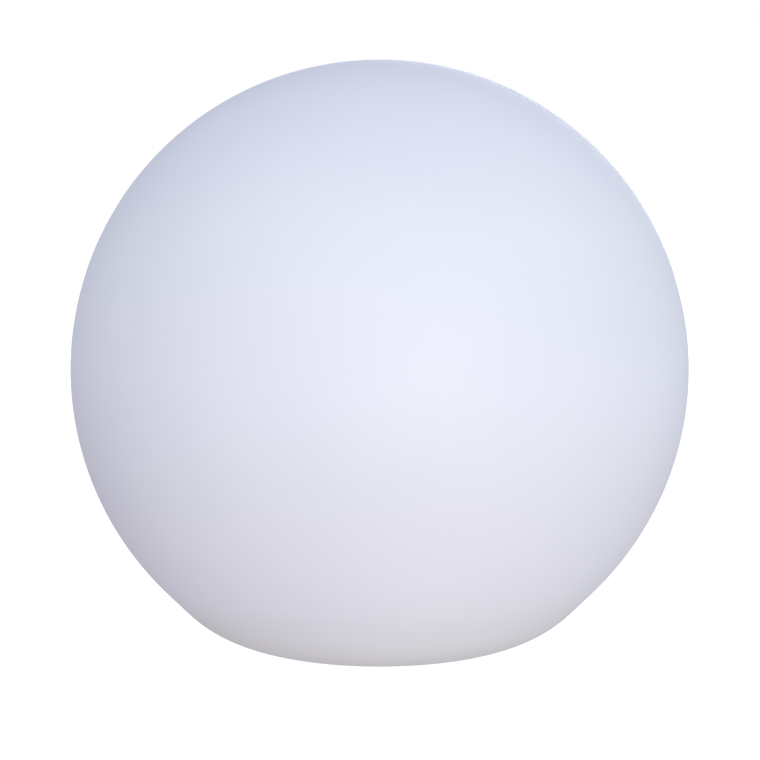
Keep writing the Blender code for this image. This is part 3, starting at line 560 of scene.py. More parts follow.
def solder_mask(name, mask, trace):
    """Lacquer over bundles of copper tracks, which run along X in places and along Y in others."""
    surface = Surface(name, mask, 0.3)
    patches = surface.pattern("TexVoronoi", 150.0, "Color", distance="CHEBYCHEV")
    tracks, edge = 0.0, 0.01
    for direction, low, high in (("X", 0.30, 0.44), ("Y", 0.56, 0.70)):
        waves = surface.pattern("TexWave", 330.0, bands_direction=direction)
        here = surface.math("MULTIPLY", surface.span(patches, 0.0, 1.0, low, low + edge),
                            surface.span(patches, 1.0, 0.0, high, high + edge))
        tracks = surface.math("MULTIPLY_ADD", here, surface.span(waves, 0.0, 1.0, 0.55, 0.70), tracks)
    surface.colours(tracks, (0.0, mask), (1.0, trace))
    surface.bump(tracks, 0.00003, 0.4)
    surface.roughness(surface.noise(700), 0.22, 0.38)
    return surface.material


def shrink_wrap():
    surface = Surface("cell_wrap", (0.03, 0.16, 0.45), 0.3)
    surface.colours(surface.noise(120), (0.3, (0.024, 0.13, 0.38)), (0.7, (0.034, 0.18, 0.50)))
    surface.bump(surface.noise(500, 3, 0.5, (0.2, 1, 1)), 0.00006, 0.5)
    surface.roughness(surface.noise(300), 0.2, 0.35)
    return surface.material


def webbing():
    """A woven black strap."""
    surface = Surface("webbing", (0.03, 0.03, 0.034), 0.8)
    weave = surface.pattern("TexChecker", 1600.0)
    surface.colours(weave, (0.0, (0.022, 0.022, 0.025)), (1.0, (0.045, 0.045, 0.050)))
    surface.bump(weave, 0.0001, 0.6)
    surface.roughness(surface.noise(900, 2), 0.7, 0.85)
    return surface.material


def frosted_lens():
    surface = moulded_surface("frosted_lens", (0.88, 0.90, 0.92), 0.5, 1100.0, 0.00004, 0.015)
    surface.set({"Transmission Weight": 0.45, "IOR": ACRYLIC_IOR})
    return surface.material


def phosphor():
    surface = Surface("led_phosphor", (0.90, 0.74, 0.25), 0.35)
    surface.colours(surface.noise(3000), (0.3, (0.86, 0.68, 0.20)), (0.7, (0.93, 0.80, 0.32)))
    surface.set({"Emission Color": (1.0, 0.93, 0.80, 1), "Emission Strength": 0.6})
    return surface.material


def light_pipe():
    """Slightly milky acrylic, with a faint light in it."""
    surface = Surface("clear_acrylic", (0.93, 0.95, 0.96), 0.12)
    surface.roughness(surface.noise(900, 2), 0.08, 0.20)
    surface.set({"Transmission Weight": 0.4, "IOR": ACRYLIC_IOR})
    surface.set({"Emission Color": (0.75, 0.90, 1.0, 1), "Emission Strength": 0.12})
    return surface.material


# Looks: a material, and the slot in the record that it stands for
GLOBE = globe_plastic(), "globe_white"
HOUSING = moulded("housing_plastic", (0.78, 0.785, 0.80), 0.36), "housing_white"
PACKAGE = moulded("white_package", (0.84, 0.84, 0.82), 0.4, 2600.0, 0.00001), "board_white"
WHITE_SIGN = PACKAGE[0], "housing_white"
SILICONE = rubber("grey_silicone", (0.36, 0.375, 0.40)), "silicone_grey"
STEEL = stainless(), "stainless"
BRASS = brass(), "brass"
BOARD_GREEN = solder_mask("green_board", (0.012, 0.12, 0.05), (0.03, 0.22, 0.09)), "board_green"
BOARD_WHITE = solder_mask("white_board", (0.80, 0.80, 0.78), (0.745, 0.745, 0.72)), "board_white"
FRAME_BLACK = moulded("black_frame", (0.035, 0.036, 0.04), 0.45, 1700.0, 0.00004, 0.15), "frame_black"
CHIP_BLACK = moulded("black_package", (0.02, 0.02, 0.022), 0.5, 3000.0, 0.00001, 0.2), "frame_black"
CELL_WRAP = shrink_wrap(), "cell_wrap"
LENS = frosted_lens(), "lens_frost"
PHOSPHOR = phosphor(), "led_phosphor"
ACRYLIC = light_pipe(), "clear_acrylic"
WEBBING = webbing(), "frame_black"
LEAD_RED = rubber("red_lead", (0.50, 0.025, 0.02), 0.4), "lead_red"
LEAD_BLACK = rubber("black_lead", (0.018, 0.018, 0.02), 0.4), "lead_black"
LEAD_GREEN = rubber("green_lead", (0.02, 0.28, 0.08), 0.4), "lead_black"
LEAD_BLUE = rubber("blue_lead", (0.02, 0.08, 0.45), 0.4), "lead_black"


# Globe


def globe_outline():
    """The outer skin from the pole down to the opening, then the inner skin back to the pole."""
    leave = FLANK_DEG - 90
    slope = math.radians(FLANK_DEG)
    flank_r, flank_z = arc(0, CENTRE_Z, GLOBE_RADIUS, leave, leave, 1)[0]
    foot_r = flank_r - flank_z / math.tan(slope) - FOOT_FILLET * math.tan(slope / 2)
    corner_z = SEAT_Z - POCKET_CORNER
    outer = arc(0, CENTRE_Z, GLOBE_RADIUS, 90, 0, 48)
    outer += arc(0, CENTRE_Z, GLOBE_RADIUS, 0, leave, 24)[1:]
    outer += arc(foot_r, FOOT_FILLET, FOOT_FILLET, leave, -90, 20)
    outer += arc(POCKET_MOUTH_RADIUS + POCKET_LIP, POCKET_LIP, POCKET_LIP, -90, -180, 8)
    outer += arc(SEAT_RADIUS, corner_z, POCKET_CORNER, 0, 90, 6)
    outer += arc(OPENING_RADIUS + OPENING_EDGE, SEAT_Z + OPENING_EDGE, OPENING_EDGE, 270, 180, 4)
    outer += [(OPENING_RADIUS, SEAT_Z + WALL)]
    inner = arc(SEAT_RADIUS, corner_z, POCKET_CORNER + WALL, 90, 0, 6)
    inner += [(POCKET_MOUTH_RADIUS + WALL, WALL)]
    inner += arc(foot_r, FOOT_FILLET, FOOT_FILLET - WALL, -90, leave, 16)
    inner += arc(0, CENTRE_Z, GLOBE_RADIUS - WALL, leave, 90, 56)
    return outer + inner


def make_globe():
    """The shell, with a boss over each insert's pocket."""
    places = places_of("threaded_insert", 6)
    boss = softened(rod(BOSS_RADIUS, SEAT_Z + WALL / 2, SEAT_Z + BOSS_HEIGHT), 0.0012, 4, closed=False)
    pocket = rod(INSERT_POCKET_RADIUS, SEAT_Z - 0.002, heights_of("threaded_insert_1")[1] + GAP)
    add_piece("globe", lathe(globe_outline(), GLOBE_SEGMENTS), GLOBE, "globe_shell",
              adds=[stood(boss, places)], cuts=[stood(pocket, places)])


# Fasteners


def move_radially(bm, rule):
    """Moves each point to the distance from Z that the rule gives for its (radius, z, turn)."""
    for vert in bm.verts:
        radius = math.hypot(vert.co.x, vert.co.y)
        if radius > ON_AXIS:
            turn = math.atan2(vert.co.y, vert.co.x) / math.tau
            factor = rule(radius, vert.co.z, turn) / radius
            vert.co.x *= factor
            vert.co.y *= factor
    return bm


def rows_along(radius, start, end, count):
    return [(radius, start + (end - start) * k / count) for k in range(count + 1)]


def thread_rule(radius, low, high, pitch, outward=-1):
    """A helical groove in a shank, or with outward=1 in a bore, which fades out at both ends."""
    depth = 0.45 * pitch

    def rule(here, z, turn):
        if abs(here - radius) > ON_AXIS:
            return here
        fade = max(0.0, min(1.0, (z - low) / pitch, (high - z) / pitch))
        wave = abs(2 * ((z / pitch - turn) % 1) - 1)
        return here + outward * depth * fade * min(1.0, max(0.0, 1.4 * wave - 0.2))

    return rule


def tapered_cross(half_length, half_width, top, bottom, taper):
    """The cutter of a cross recess: four wings that narrow towards the bottom."""
    corner = [(half_length, -half_width), (half_length, half_width), (half_width, half_width)]
    outline = []
    for _ in range(4):
        outline += corner
        corner = [(-y, x) for x, y in corner]
    bm = prism(softened(outline, 0.3 * half_width), top, bottom)
    for vert in bm.verts:
        if abs(vert.co.z - bottom) < SAME_HEIGHT:
            vert.co.x *= taper
            vert.co.y *= taper
    return bm


def screw_outline(head_radius, head_height, shank_radius, grip, pitch, length):
    """From the tip to the crown of the head. The shank has six rows of points for each turn of its thread."""
    outline = [(0, length), (0.45 * shank_radius, length)]
    outline += rows_along(shank_radius, grip, 0.3 * pitch, round(6 * grip / pitch))
    outline += [(shank_radius, 0), (head_radius, 0), (head_radius, -0.1 * head_height)]
    for k in range(9):
        across, down = polar(1.0, 90 * k / 8)
        outline.append((head_radius * across, -head_height * (0.4 + 0.6 * down)))
    return outline


def add_screws(stem, head, shank, pitch, seat_z, flip=0.0):
    """Pan-head screws in the places of their CAD nodes. A head and a shank are each a radius and a length."""
    head_radius, head_height = head
    shank_radius, length = shank
    grip = length - 0.9 * shank_radius
    shape = lathe(screw_outline(head_radius, head_height, shank_radius, grip, pitch, length), 36)
    screw = new_object(stem, move_radially(shape, thread_rule(shank_radius, 0.3 * pitch, grip, pitch)))
    recess = (0.58 * head_radius, 0.15 * head_radius, -1.2 * head_height, -0.35 * head_height, 0.62)
    carve(screw, tapered_cross(*recess))
    nodes = sorted(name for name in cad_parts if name.startswith(stem))
    add_copies(screw, nodes, "threaded", seat_z, STEEL, flip)


def make_screws():
    add_screws("flange_screw", (0.0034, 0.0022), (0.0019, 0.0130), 0.0007, PLATE_UNDER + 0.0015)
    add_screws("saddle_screw", (0.0027, 0.0017), (0.0012, 0.0085), 0.0005, SADDLE_Z[0] - GAP)
    add_screws("lens_screw", (0.0024, 0.0016), (0.0012, 0.0095), 0.0005, LENS_FLANGE_Z[1] + GAP, math.pi)
    add_screws("led_screw", (0.0022, 0.0014), (0.0011, 0.0080), 0.0004, LED_BOARD_Z[1] + GAP, math.pi)
    add_screws("frame_screw", (0.0022, 0.0016), (0.0012, 0.0160), 0.0005, DECK_Z[1] + GAP, math.pi)


def make_inserts():
    """Heat-set brass inserts: two bands of opposite knurls round the outside, and a thread in the bore."""
    low, high = heights_of("threaded_insert_1")
    radius, bore, pitch, waist, edge = 0.0030, 0.0020, 0.0007, 0.0006, 0.0004
    knurls, knurl_lean, knurl_depth = 18, 380, 0.0001
    middle = (low + high) / 2
    outline = [(radius - edge, high), *rows_along(radius, high - edge, middle + waist, 12)]
    outline += [(radius - waist, middle + waist), (radius - waist, middle - waist)]
    outline += [*rows_along(radius, middle - waist, low + edge, 12), (radius - edge, low), (bore + edge, low)]
    outline += [*rows_along(bore, low + edge, high - edge, 84), (bore + edge, high)]
    bore_thread = thread_rule(bore, low + edge, high - edge, pitch, 1)

    def knurl(here, z, turn):
        if abs(here - radius) > ON_AXIS:
            return bore_thread(here, z, turn)
        lean = knurl_lean if z > middle else -knurl_lean
        return here - knurl_depth * (1 + math.cos(math.tau * (knurls * turn + lean * (z - middle))))

    insert = new_object("threaded_insert", move_radially(lathe(outline, 108), knurl))
    add_copies(insert, [f"threaded_insert_{k}" for k in range(1, 7)], "knurled", 0, BRASS)


# Seals


def make_gasket():
    """A flat ring with two rounded beads on each face, either side of the screw holes."""
    low, high = heights_of("flange_gasket")
    inner, outer, steps = 0.042, 0.050, 60
    bead_height, bead_half_width = 0.0002, 0.0006
    beads = (inner + 0.0010, outer - 0.0008)
    top, under = [], []
    for k in range(steps + 1):
        radius = inner + (outer - inner) * k / steps
        near = min(abs(radius - bead) for bead in beads)
        rise = bead_height * max(0.0, 1 - (near / bead_half_width) ** 2)
        top.append((radius, high - bead_height + rise))
        under.append((radius, low + bead_height - rise))
    add_piece("gasket", lathe(top[::-1] + under, MODULE_SEGMENTS), SILICONE, "flange_gasket",
              cuts=[through(0.0025, low, high, places_of("flange_screw", 6))])


def make_rings():
    seal = wire("lens_seal_ring", ring_points(0.03875, RIM_Z - 0.0004, MODULE_SEGMENTS), 0.0005, True)
    finish(seal, SILICONE, "lens_seal")
    oring = wire("button_oring_ring", ring_points(0.00228, 0.0157, 64), 0.0004, True)
    finish(oring, LEAD_BLACK, "button_oring", body="button")


# Module body


def groove(radius, half_width):
    """The outline of a shallow, round-bottomed ring in the plate's underside, from outside to inside."""
    return arc(radius, PLATE_UNDER - 0.4 * half_width, half_width, 24, 156, 8)


def housing_outline():
    """Flange, plate, button well with its guide, and cup wall with the seal's groove, turned in one."""
    guide_low, guide_high = 0.0125, 0.0185
    groove_inner, groove_outer, groove_floor = 0.0380, 0.0395, RIM_Z - SEAL_GROOVE_DEPTH
    return [
        (CUP_OUTER, RIM_Z), (CUP_OUTER, FLANGE_TOP), (FLANGE_RADIUS, FLANGE_TOP),
        (FLANGE_RADIUS, PLATE_UNDER), *groove(0.0410, 0.0006), *groove(0.0133, 0.0005),
        (WELL_RADIUS, PLATE_UNDER), (WELL_RADIUS, WELL_CEILING), (GUIDE_RADIUS, WELL_CEILING),
        (GUIDE_RADIUS, guide_low), (GUIDE_BORE, guide_low), (GUIDE_BORE, guide_high),
        (GUIDE_RADIUS, guide_high), (GUIDE_RADIUS, WELL_ROOF), (WELL_OUTER, WELL_ROOF),
        (WELL_OUTER, PLATE_TOP), (CUP_INNER, PLATE_TOP), (CUP_INNER, RIM_Z), (groove_inner, RIM_Z),
        (groove_inner, groove_floor), (groove_outer, groove_floor), (groove_outer, RIM_Z),
    ]


def hinge_lug(sign):
    """An ear that hangs from the plate round the pin, with a wider root."""
    radius, root, bottom, top = 0.0024, 0.0034, PLATE_UNDER - 0.0004, PLATE_UNDER + 0.0006
    outline = [(HINGE_Y + root, top), (HINGE_Y + radius, bottom)]
    outline += arc(HINGE_Y, HINGE_Z, radius, 0, -180, 24)
    outline += [(HINGE_Y - radius, bottom), (HINGE_Y - root, top)]
    return prism(outline, sign * LUG_X[0], sign * LUG_X[1], 0.0003, "X")


def gusset(degrees):
    """A rib between the plate and the cup's wall."""
    reach, base, half, top = CUP_INNER + 0.0004, PLATE_TOP - 0.0004, 0.0006, 0.0225
    outline = [(reach, base), (reach, top), (reach - 0.0016, top), (reach - 0.0036, base + 0.003),
               (reach - 0.0060, base)]
    return moved(prism(outline, -half, half, 0.0002, "X"), turn=degrees - 90)


def housing_additions(saddle_screws, posts):
    """Lens posts, board posts, bosses of the saddle's screws, the port's cup, hinge lugs and gussets."""
    root = PLATE_TOP - 0.0005
    additions = stood(rod(0.0038, 0.0435, RIM_Z - 0.0005, 0.0003), places_of("lens_screw", 4))
    additions += stood(rod(0.003, root, CONTROL_BOARD_Z[0] - GAP, 0.0003, 0.0008), posts)
    additions += stood(rod(0.003, root, PLATE_TOP + 0.007, 0.0003, 0.0008), saddle_screws)
    additions += stood(rod(0.0085, root, PORT_ROOF_Z, 0.0004, 0.0006), PORT, 80)
    additions += [hinge_lug(-1), hinge_lug(1)]
    clear_of_saddle = (0, 3, 4, 5, 6, 7)
    return additions + [gusset(22.5 + 45 * k) for k in clear_of_saddle]


def make_housing():
    """The plate and cup with all that stands on them. Wide bores are cut first, then the narrow ones."""
    screws, saddle_screws = places_of("flange_screw", 6), places_of("saddle_screw", 2)
    posts, post_top = corners(*BOARD_POST), CONTROL_BOARD_Z[0] - GAP
    wide = [along_x(rod(HINGE_BORE, -0.012, 0.012), 32, HINGE_Y, HINGE_Z)]
    wide += stood(drill(0.0038, PLATE_UNDER, PLATE_UNDER + 0.0018, 0.0003), screws, 56)
    wide += stood(drill(PORT_WELL_RADIUS, PLATE_UNDER, PORT_FLOOR_Z, 0.0005), PORT, 80)
    wide += stood(drill(PIPE_BORE, PLATE_UNDER, CONTROL_BOARD_Z[0], 0.0004), [(PIPE_X, PIPE_Y)], 32)
    narrow = stood(drill(0.0023, PLATE_UNDER, FLANGE_TOP + 0.001), screws)
    narrow += stood(drill(SMALL_BORE, RIM_Z - 0.009, RIM_Z, 0.0002, False), places_of("lens_screw", 4), 28)
    narrow += stood(drill(SMALL_BORE, PLATE_TOP + 0.001, post_top, 0.0002, False), posts[::2], 28)
    narrow += stood(drill(SMALL_BORE, PLATE_UNDER, PLATE_TOP + 0.0055, 0.0002), saddle_screws, 28)
    narrow += through(SNOUT_RADIUS + GAP, PORT_FLOOR_Z, PORT_ROOF_Z, PORT, 56)
    additions = [[shape] for shape in housing_additions(saddle_screws, posts)]
    body = lathe(softened(housing_outline(), 0.00035), MODULE_SEGMENTS)
    add_piece("housing", body, HOUSING, "module_base", adds=additions, cuts=[wide, narrow])


# Lens and LEDs


def make_lens():
    """A dome of even wall over a flat flange."""
    under, base_z = LENS_FLANGE_Z
    radius, rise, wall = 0.0305, 0.0205, 0.002
    ball = (radius**2 + rise**2) / (2 * rise)
    centre_z = base_z + rise - ball
    start = math.degrees(math.asin((base_z - centre_z) / ball))
    inner_start = math.degrees(math.asin((under - centre_z) / (ball - wall)))
    outline = arc(0, centre_z, ball, 90, start, 40)
    flange = [outline[-1], (CUP_OUTER, base_z), (CUP_OUTER, under), (0.034, under)]
    outline += softened(flange, 0.0004, closed=False)[1:]
    outline += arc(0, centre_z, ball - wall, inner_start, 90, 40)
    hole = drill(SCREW_CLEARANCE, under - 0.001, base_z, 0.0003, False)
    holes = stood(hole, places_of("lens_screw", 4), 32)
    add_piece("lens", lathe(outline, MODULE_SEGMENTS), LENS, "lens_dome", cuts=[holes])


def add_board(name, radius, heights, screws, look, node):
    outline = softened(rod(radius, *heights), 0.0001, 2, closed=False)
    add_piece(name, lathe(outline, 128), look, node, cuts=[through(SCREW_CLEARANCE, *heights, screws)])


def solder_rings(places, inner, outer, z):
    top = z + SOLDER_FILM
    return stood([(inner, z), (outer, z), (outer, top), (inner, top)], places)


def chip(x, y, z, size, turn=0.0, bevel=0.0001):
    length, width, height = size
    return moved(box((-length / 2, -width / 2, 0), (length / 2, width / 2, height), bevel), x, y, z, turn)


def passive_ends(x, y, z, size, turn):
    """The two metal caps of a chip resistor or capacitor."""
    length, width, height = size
    cap = (0.24 * length, width * 1.03, height * 1.04)
    ends = []
    for sign in (-1, 1):
        along, across = polar(sign * 0.40 * length, turn)
        ends.append(chip(x + along, y + across, z, cap, turn, 0.00005))
    return ends


def make_led_board():
    """The board, with a resistor beside each LED and six more round an inner ring."""
    heights, screws = heights_of("led_board"), corners(*LED_POST)[::2]
    top = heights[1]
    add_board("led_board_disc", 0.0295, heights, screws, BOARD_WHITE, "led_board")
    size, places = (0.0020, 0.00125, 0.0006), []
    for k in range(12):
        radius, turn = (0.0150, 30 * k) if k % 2 else (0.0270, 30 * k + 30)
        places.append((*polar(radius, turn), 30 * k + 90))
    bodies = joined(chip(x, y, top, size, turn) for x, y, turn in places)
    metal = [end for x, y, turn in places for end in passive_ends(x, y, top, size, turn)]
    metal += solder_rings(screws, 0.0017, 0.0027, top)
    add_piece("led_board_resistors", bodies, CHIP_BLACK)
    add_piece("led_board_solder", joined(metal), STEEL)


def make_leds():
    """Each LED is a white package round a shallow well of phosphor."""
    well = [(0, 0.0021), (0.0025, 0.0021), (0.0017, 0.0010), (0, 0.0010)]
    dome = [(0, 0.00135), (0.0010, 0.00132), (0.00178, 0.00122), (0.00165, 0.00102), (0, 0.00102)]
    for k in range(1, 7):
        node = f"led_{k}"
        low, high = heights_of(node)
        place = (*centre_of(node), low)
        package = chip(0, 0, 0, (0.005, 0.005, high - low), 0, 0.0002)
        add_piece(f"{node}_package", package, PACKAGE, node, at=place, cuts=[[lathe(well, 40)]])
        add_piece(f"{node}_phosphor", moved(lathe(dome, 40), *place, 60 * k - 30), PHOSPHOR)


def make_receiver():
    """A three-legged package with a round eye."""
    low, high = heights_of("ir_receiver")
    outline = [(0.003, -0.0014), (0.0024, -0.002), (-0.0024, -0.002), (-0.003, -0.0014), (-0.003, 0.0015),
               (0.003, 0.0015)]
    case = prism(softened(outline, 0.0002), low, high, 0.0002)
    eye = moved(lathe(arc(0, 0, 0.0022, 90, -90, 24), 48), 0, -0.0016, low + 0.6 * (high - low))
    add_piece("ir_receiver_case", case, CHIP_BLACK, "ir_receiver", adds=[[eye]])
    half, legs = 0.0002, []
    for x in (-0.0018, 0, 0.0018):
        legs.append(box((x - half, 0.0016, low - 0.0003), (x + half, 0.0020, low + 0.0012), 0.00005))
    add_piece("ir_receiver_legs", joined(legs), STEEL)


# Control board, frame and battery


def gull_legs(x, y, z, half, count, pitch):
    """The legs along the four sides of a flat package."""
    half_width, thickness, reach = 0.00014, 0.00025, 0.0007
    legs = []
    for turn in (0, 90, 180, 270):
        for k in range(count):
            along = (k - (count - 1) / 2) * pitch
            high = (half + reach, along + half_width, z + thickness)
            leg = box((half - 0.0001, along - half_width, z), high, 0.00005)
            legs.append(moved(moved(leg, turn=turn), x, y))
    return legs


def passive_places():
    """A row of seven small parts, and a column of five with two more beside its end, as (x, y, turn)."""
    places = []
    for k in range(7):
        places.append((-0.0135 + 0.0045 * k, 0.0135, 90 * (k % 2)))
        in_column, beside_it = (-0.0125, 0.0100 - 0.0025 * k, 0), (-0.0245 + 0.001 * k, -0.004 * (k - 4), 90)
        places.append(in_column if k < 5 else beside_it)
    return places


def make_control_board():
    """The board with four large packages, its small parts, and the charging socket's solder joints."""
    low, high = CONTROL_BOARD_Z
    screws = corners(*BOARD_POST)[::2]
    add_board("control_board_disc", 0.034, CONTROL_BOARD_Z, screws, BOARD_GREEN, "control_board")
    controller = (-0.004, 0.005)
    chips = [chip(*controller, high + 0.0001, (0.007, 0.007, 0.0010)),
             chip(0.009, 0.004, high + 0.0001, (0.005, 0.004, 0.0012)),
             chip(0.006, -0.008, high, (0.006, 0.006, 0.0024), 0, 0.0005),
             chip(-0.010, -0.008, high, (0.0050, 0.0032, 0.0008))]
    size, places = (0.0016, 0.0008, 0.0006), passive_places()
    chips += [chip(x, y, high, size, turn) for x, y, turn in places]
    metal = gull_legs(*controller, high, 0.0035, 8, 0.0008)
    metal += [end for x, y, turn in places for end in passive_ends(x, y, high, size, turn)]
    metal += solder_rings(screws, 0.0017, 0.0029, low - SOLDER_FILM)
    socket_pins = [(x, PORT_Y + y) for x, y in ((0, 0.003), (0.0035, -0.001), (-0.0035, -0.001))]
    metal += solder_rings(socket_pins, 0.0003, 0.0011, high)
    add_piece("control_board_chips", joined(chips), CHIP_BLACK)
    add_piece("control_board_solder", joined(metal), STEEL)


def deck_outline():
    """A rectangle with a square notch in each corner, going round from the first quarter."""
    points = []
    for sign_x, sign_y in corners(1, 1):
        corner = [(0.025, 0.0175), (0.0172, 0.0175), (0.0172, 0.0248)]
        if sign_x != sign_y:
            corner.reverse()
        points += [(sign_x * x, sign_y * y) for x, y in corner]
    return points


def cradle_outline():
    """The cross-section of a rib that the cell lies in."""
    top = DECK_Z[1] - 0.0005
    cradle = arc(0, CELL_Z, CELL_RADIUS + GAP, -150, -30, 28)
    (left, edge_z), right = cradle[0], cradle[-1]
    sides = [right, (0.0102, edge_z), (0.0112, top), (-0.0112, top), (-0.0102, edge_z), (left, edge_z)]
    return cradle + softened(sides, 0.0003, closed=False)[1:-1]


def make_inner_frame():
    """A deck with four posts up to the LED board, four feet down to the control board, and two ribs."""
    low, high = DECK_Z
    board_top, top = CONTROL_BOARD_Z[1], heights_of("led_board")[0] - GAP
    led_posts, feet = corners(*LED_POST), corners(*BOARD_POST)
    additions = stood(rod(0.0025, high - 0.0002, top, 0.0003, 0.0008), led_posts)
    additions += stood(rod(0.003, board_top + GAP, low + 0.0005), feet)
    rib_x, half = 0.02025, 0.00175
    additions += [prism(cradle_outline(), x - half, x + half, 0.0002, "X") for x in (-rib_x, rib_x)]
    cuts = stood(drill(SMALL_BORE, top - 0.009, top, 0.0002, False), led_posts[::2], 28)
    cuts += through(SCREW_CLEARANCE, board_top, high, feet[::2], 28)
    for x in (-0.0100, 0.0100):
        slot = rounded_rectangle(x - 0.002, x + 0.002, -0.006, 0.006, 0.0019)
        cuts.append(prism(slot, low - OVERRUN, high + OVERRUN))
    deck = prism(softened(deck_outline(), 0.0012, 5), low, high, 0.0003)
    adds = [[shape] for shape in additions]
    add_piece("inner_frame_deck", deck, FRAME_BLACK, "inner_frame", adds=adds, cuts=[cuts])


def lay_cell(name, outline, look, *nodes):
    add_piece(name, along_x(outline, 96, 0, CELL_Z), look, *nodes)


def make_battery():
    """A shrink-wrapped cell: the wrap folds over both ends, and the steel can shows inside it."""
    half, ridge, fold, film = 0.0325, 0.0012, CELL_RADIUS - 0.0022, 0.0003
    front, back = half - ridge, 0.0001 - half
    wrap = [(fold, front), (CELL_RADIUS, front), (CELL_RADIUS, back), (fold, back), (fold, back + film),
            (CELL_RADIUS - film, back + film), (CELL_RADIUS - film, front - film), (fold, front - film)]
    lay_cell("battery_wrap", softened(wrap, 0.0005, 4), CELL_WRAP, "battery_cell")
    can_radius = CELL_RADIUS - 0.0004
    can = [(0, half), (0.0030, half), (0.0030, front), (0.0036, front - 0.0002), (can_radius, front - 0.0004),
           (can_radius, 0.0006 - half), (can_radius - 0.0020, 0.0003 - half), (0.003, -half), (0, -half)]
    lay_cell("battery_can", softened(can, 0.0003, closed=False), STEEL)


def make_strap():
    """A woven strap over the cell, with two feet that lie on the deck."""
    inner, thickness, foot, half = CELL_RADIUS + GAP, 0.0009, 0.0140, 0.005
    low = DECK_Z[1] + GAP
    outer, high = inner + thickness, low + thickness
    outline = arc(0, CELL_Z, outer, 0, 180, 48)
    outline += [(-outer, high), (-foot, high), (-foot, low), (-inner, low)]
    outline += arc(0, CELL_Z, inner, 180, 0, 48)
    outline += [(inner, low), (foot, low), (foot, high), (outer, high)]
    add_piece("battery_strap_band", prism(outline, -half, half, 0.0002, "X"), WEBBING, "battery_strap")


def make_plug():
    """A connector shell with a mouth for each lead, and a slot for its latch above each."""
    low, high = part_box("battery_plug")
    bottom, top, front = low.z, high.z, low.y
    mouths, slots = [], []
    for x in (0.0282, 0.0310):
        mouth = (x - 0.0009, front - 0.001, bottom + 0.0010), (x + 0.0009, front + 0.0018, bottom + 0.0026)
        slot = (x - 0.0004, front + 0.0008, top - 0.0006), (x + 0.0004, front + 0.0040, top + 0.001)
        mouths.append(box(*mouth, 0.0002))
        slots.append(box(*slot, 0.0001))
    add_piece("battery_plug_shell", box(low, high, 0.0003), PACKAGE, "battery_plug", cuts=[mouths + slots])


def twisted(route, turns, offset, start):
    """A strand that winds about a route, as one lead of a bundle."""
    points = []
    last = len(route) - 1
    for k, point in enumerate(route):
        along = (Vector(route[min(k + 1, last)]) - Vector(route[max(k - 1, 0)])).normalized()
        side = along.cross(Vector((1, 0, 0))).normalized()
        c, s = polar(offset, start + 360 * turns * k / last)
        points.append(tuple(Vector(point) + side * c + along.cross(side) * s))
    return points


def make_leads():
    """Two leads from the cell's ends to the plug, and a bundle of four between the two boards."""
    end_x, plug_y = 0.0335, -0.0043
    red = [(end_x, 0, CELL_Z), (0.0352, -0.0015, 0.0380), (0.0350, -0.0050, 0.0320),
           (0.0330, -0.0082, 0.0292), (0.0310, -0.0072, 0.0284), (0.0310, plug_y, 0.0284)]
    black = [(-end_x, 0, CELL_Z), (-0.0352, -0.0020, 0.0375), (-0.0345, -0.0085, 0.0300),
             (-0.0300, -0.0190, 0.0283), (-0.0165, -0.0300, 0.0280), (0, -0.0336, 0.0280),
             (0.0160, -0.0296, 0.0280), (0.0255, -0.0200, 0.0281), (0.0282, -0.0100, 0.0284),
             (0.0282, plug_y, 0.0284)]
    bundle = [(0, 0.0262, 0.0507), (0, 0.0270, 0.0490), (0, 0.0312, 0.0462), (0, 0.0330, 0.0400),
              (0, 0.0325, 0.0335), (0, 0.0300, 0.0290), (0, 0.0290, 0.0262)]
    finish(wire("battery_lead_red_wire", smooth_route(red, 8), 0.0006), LEAD_RED, "battery_lead_red")
    finish(wire("battery_lead_black_wire", smooth_route(black, 8), 0.0006), LEAD_BLACK, "battery_lead_black")
    route = smooth_route(bundle, 12)
    for k, look in enumerate((LEAD_BLACK, LEAD_RED, LEAD_GREEN, LEAD_BLUE)):
        strand = wire(f"led_cable_strand_{k + 1}", twisted(route, 1.5, 0.0006, 90 * k), 0.00042)
        stands_for = ["led_cable"] if k == 0 else []
        finish(strand, look, *stands_for)


# Push button


def power_symbol(low, high):
    """The usual standby sign: a ring that is open at the top, and a bar in the gap."""
    radius, half = 0.0030, 0.00035
    ring = arc(0, 0, radius + half, 120, 420, 48) + arc(0, 0, radius - half, 420, 120, 48)
    bar = rounded_rectangle(-half, half, 0.0012, 0.0042, half * 0.9)
    return joined([prism(ring, low, high), prism(bar, low, high)])


def button_outline():
    """From the stem's top, past its two grooves, to the cap's cavity, skirt and dished face."""
    stem, slot, cavity = 0.0025, 0.0018, 0.0086
    profile = [
        (0, 0.0202), (stem, 0.0202), (stem, 0.0195), (slot, 0.0195), (slot, 0.0188), (stem, 0.0188),
        (stem, 0.0164), (slot, 0.0164), (slot, 0.0150), (stem, 0.0150), (stem, CAP_FLOOR),
        (cavity, CAP_FLOOR), (cavity, SKIRT_TOP), (CAP_RADIUS, SKIRT_TOP), (CAP_RADIUS, CAP_LOW + 0.0012),
        (CAP_RADIUS - 0.0010, CAP_LOW + 0.0002),
    ]
    dish = [(0.0078, CAP_LOW), (0.0060, CAP_LOW + 0.0002), (0.0030, CAP_LOW + 0.0004), (0, CAP_LOW + 0.00045)]
    return softened(profile + dish, 0.0003, closed=False)


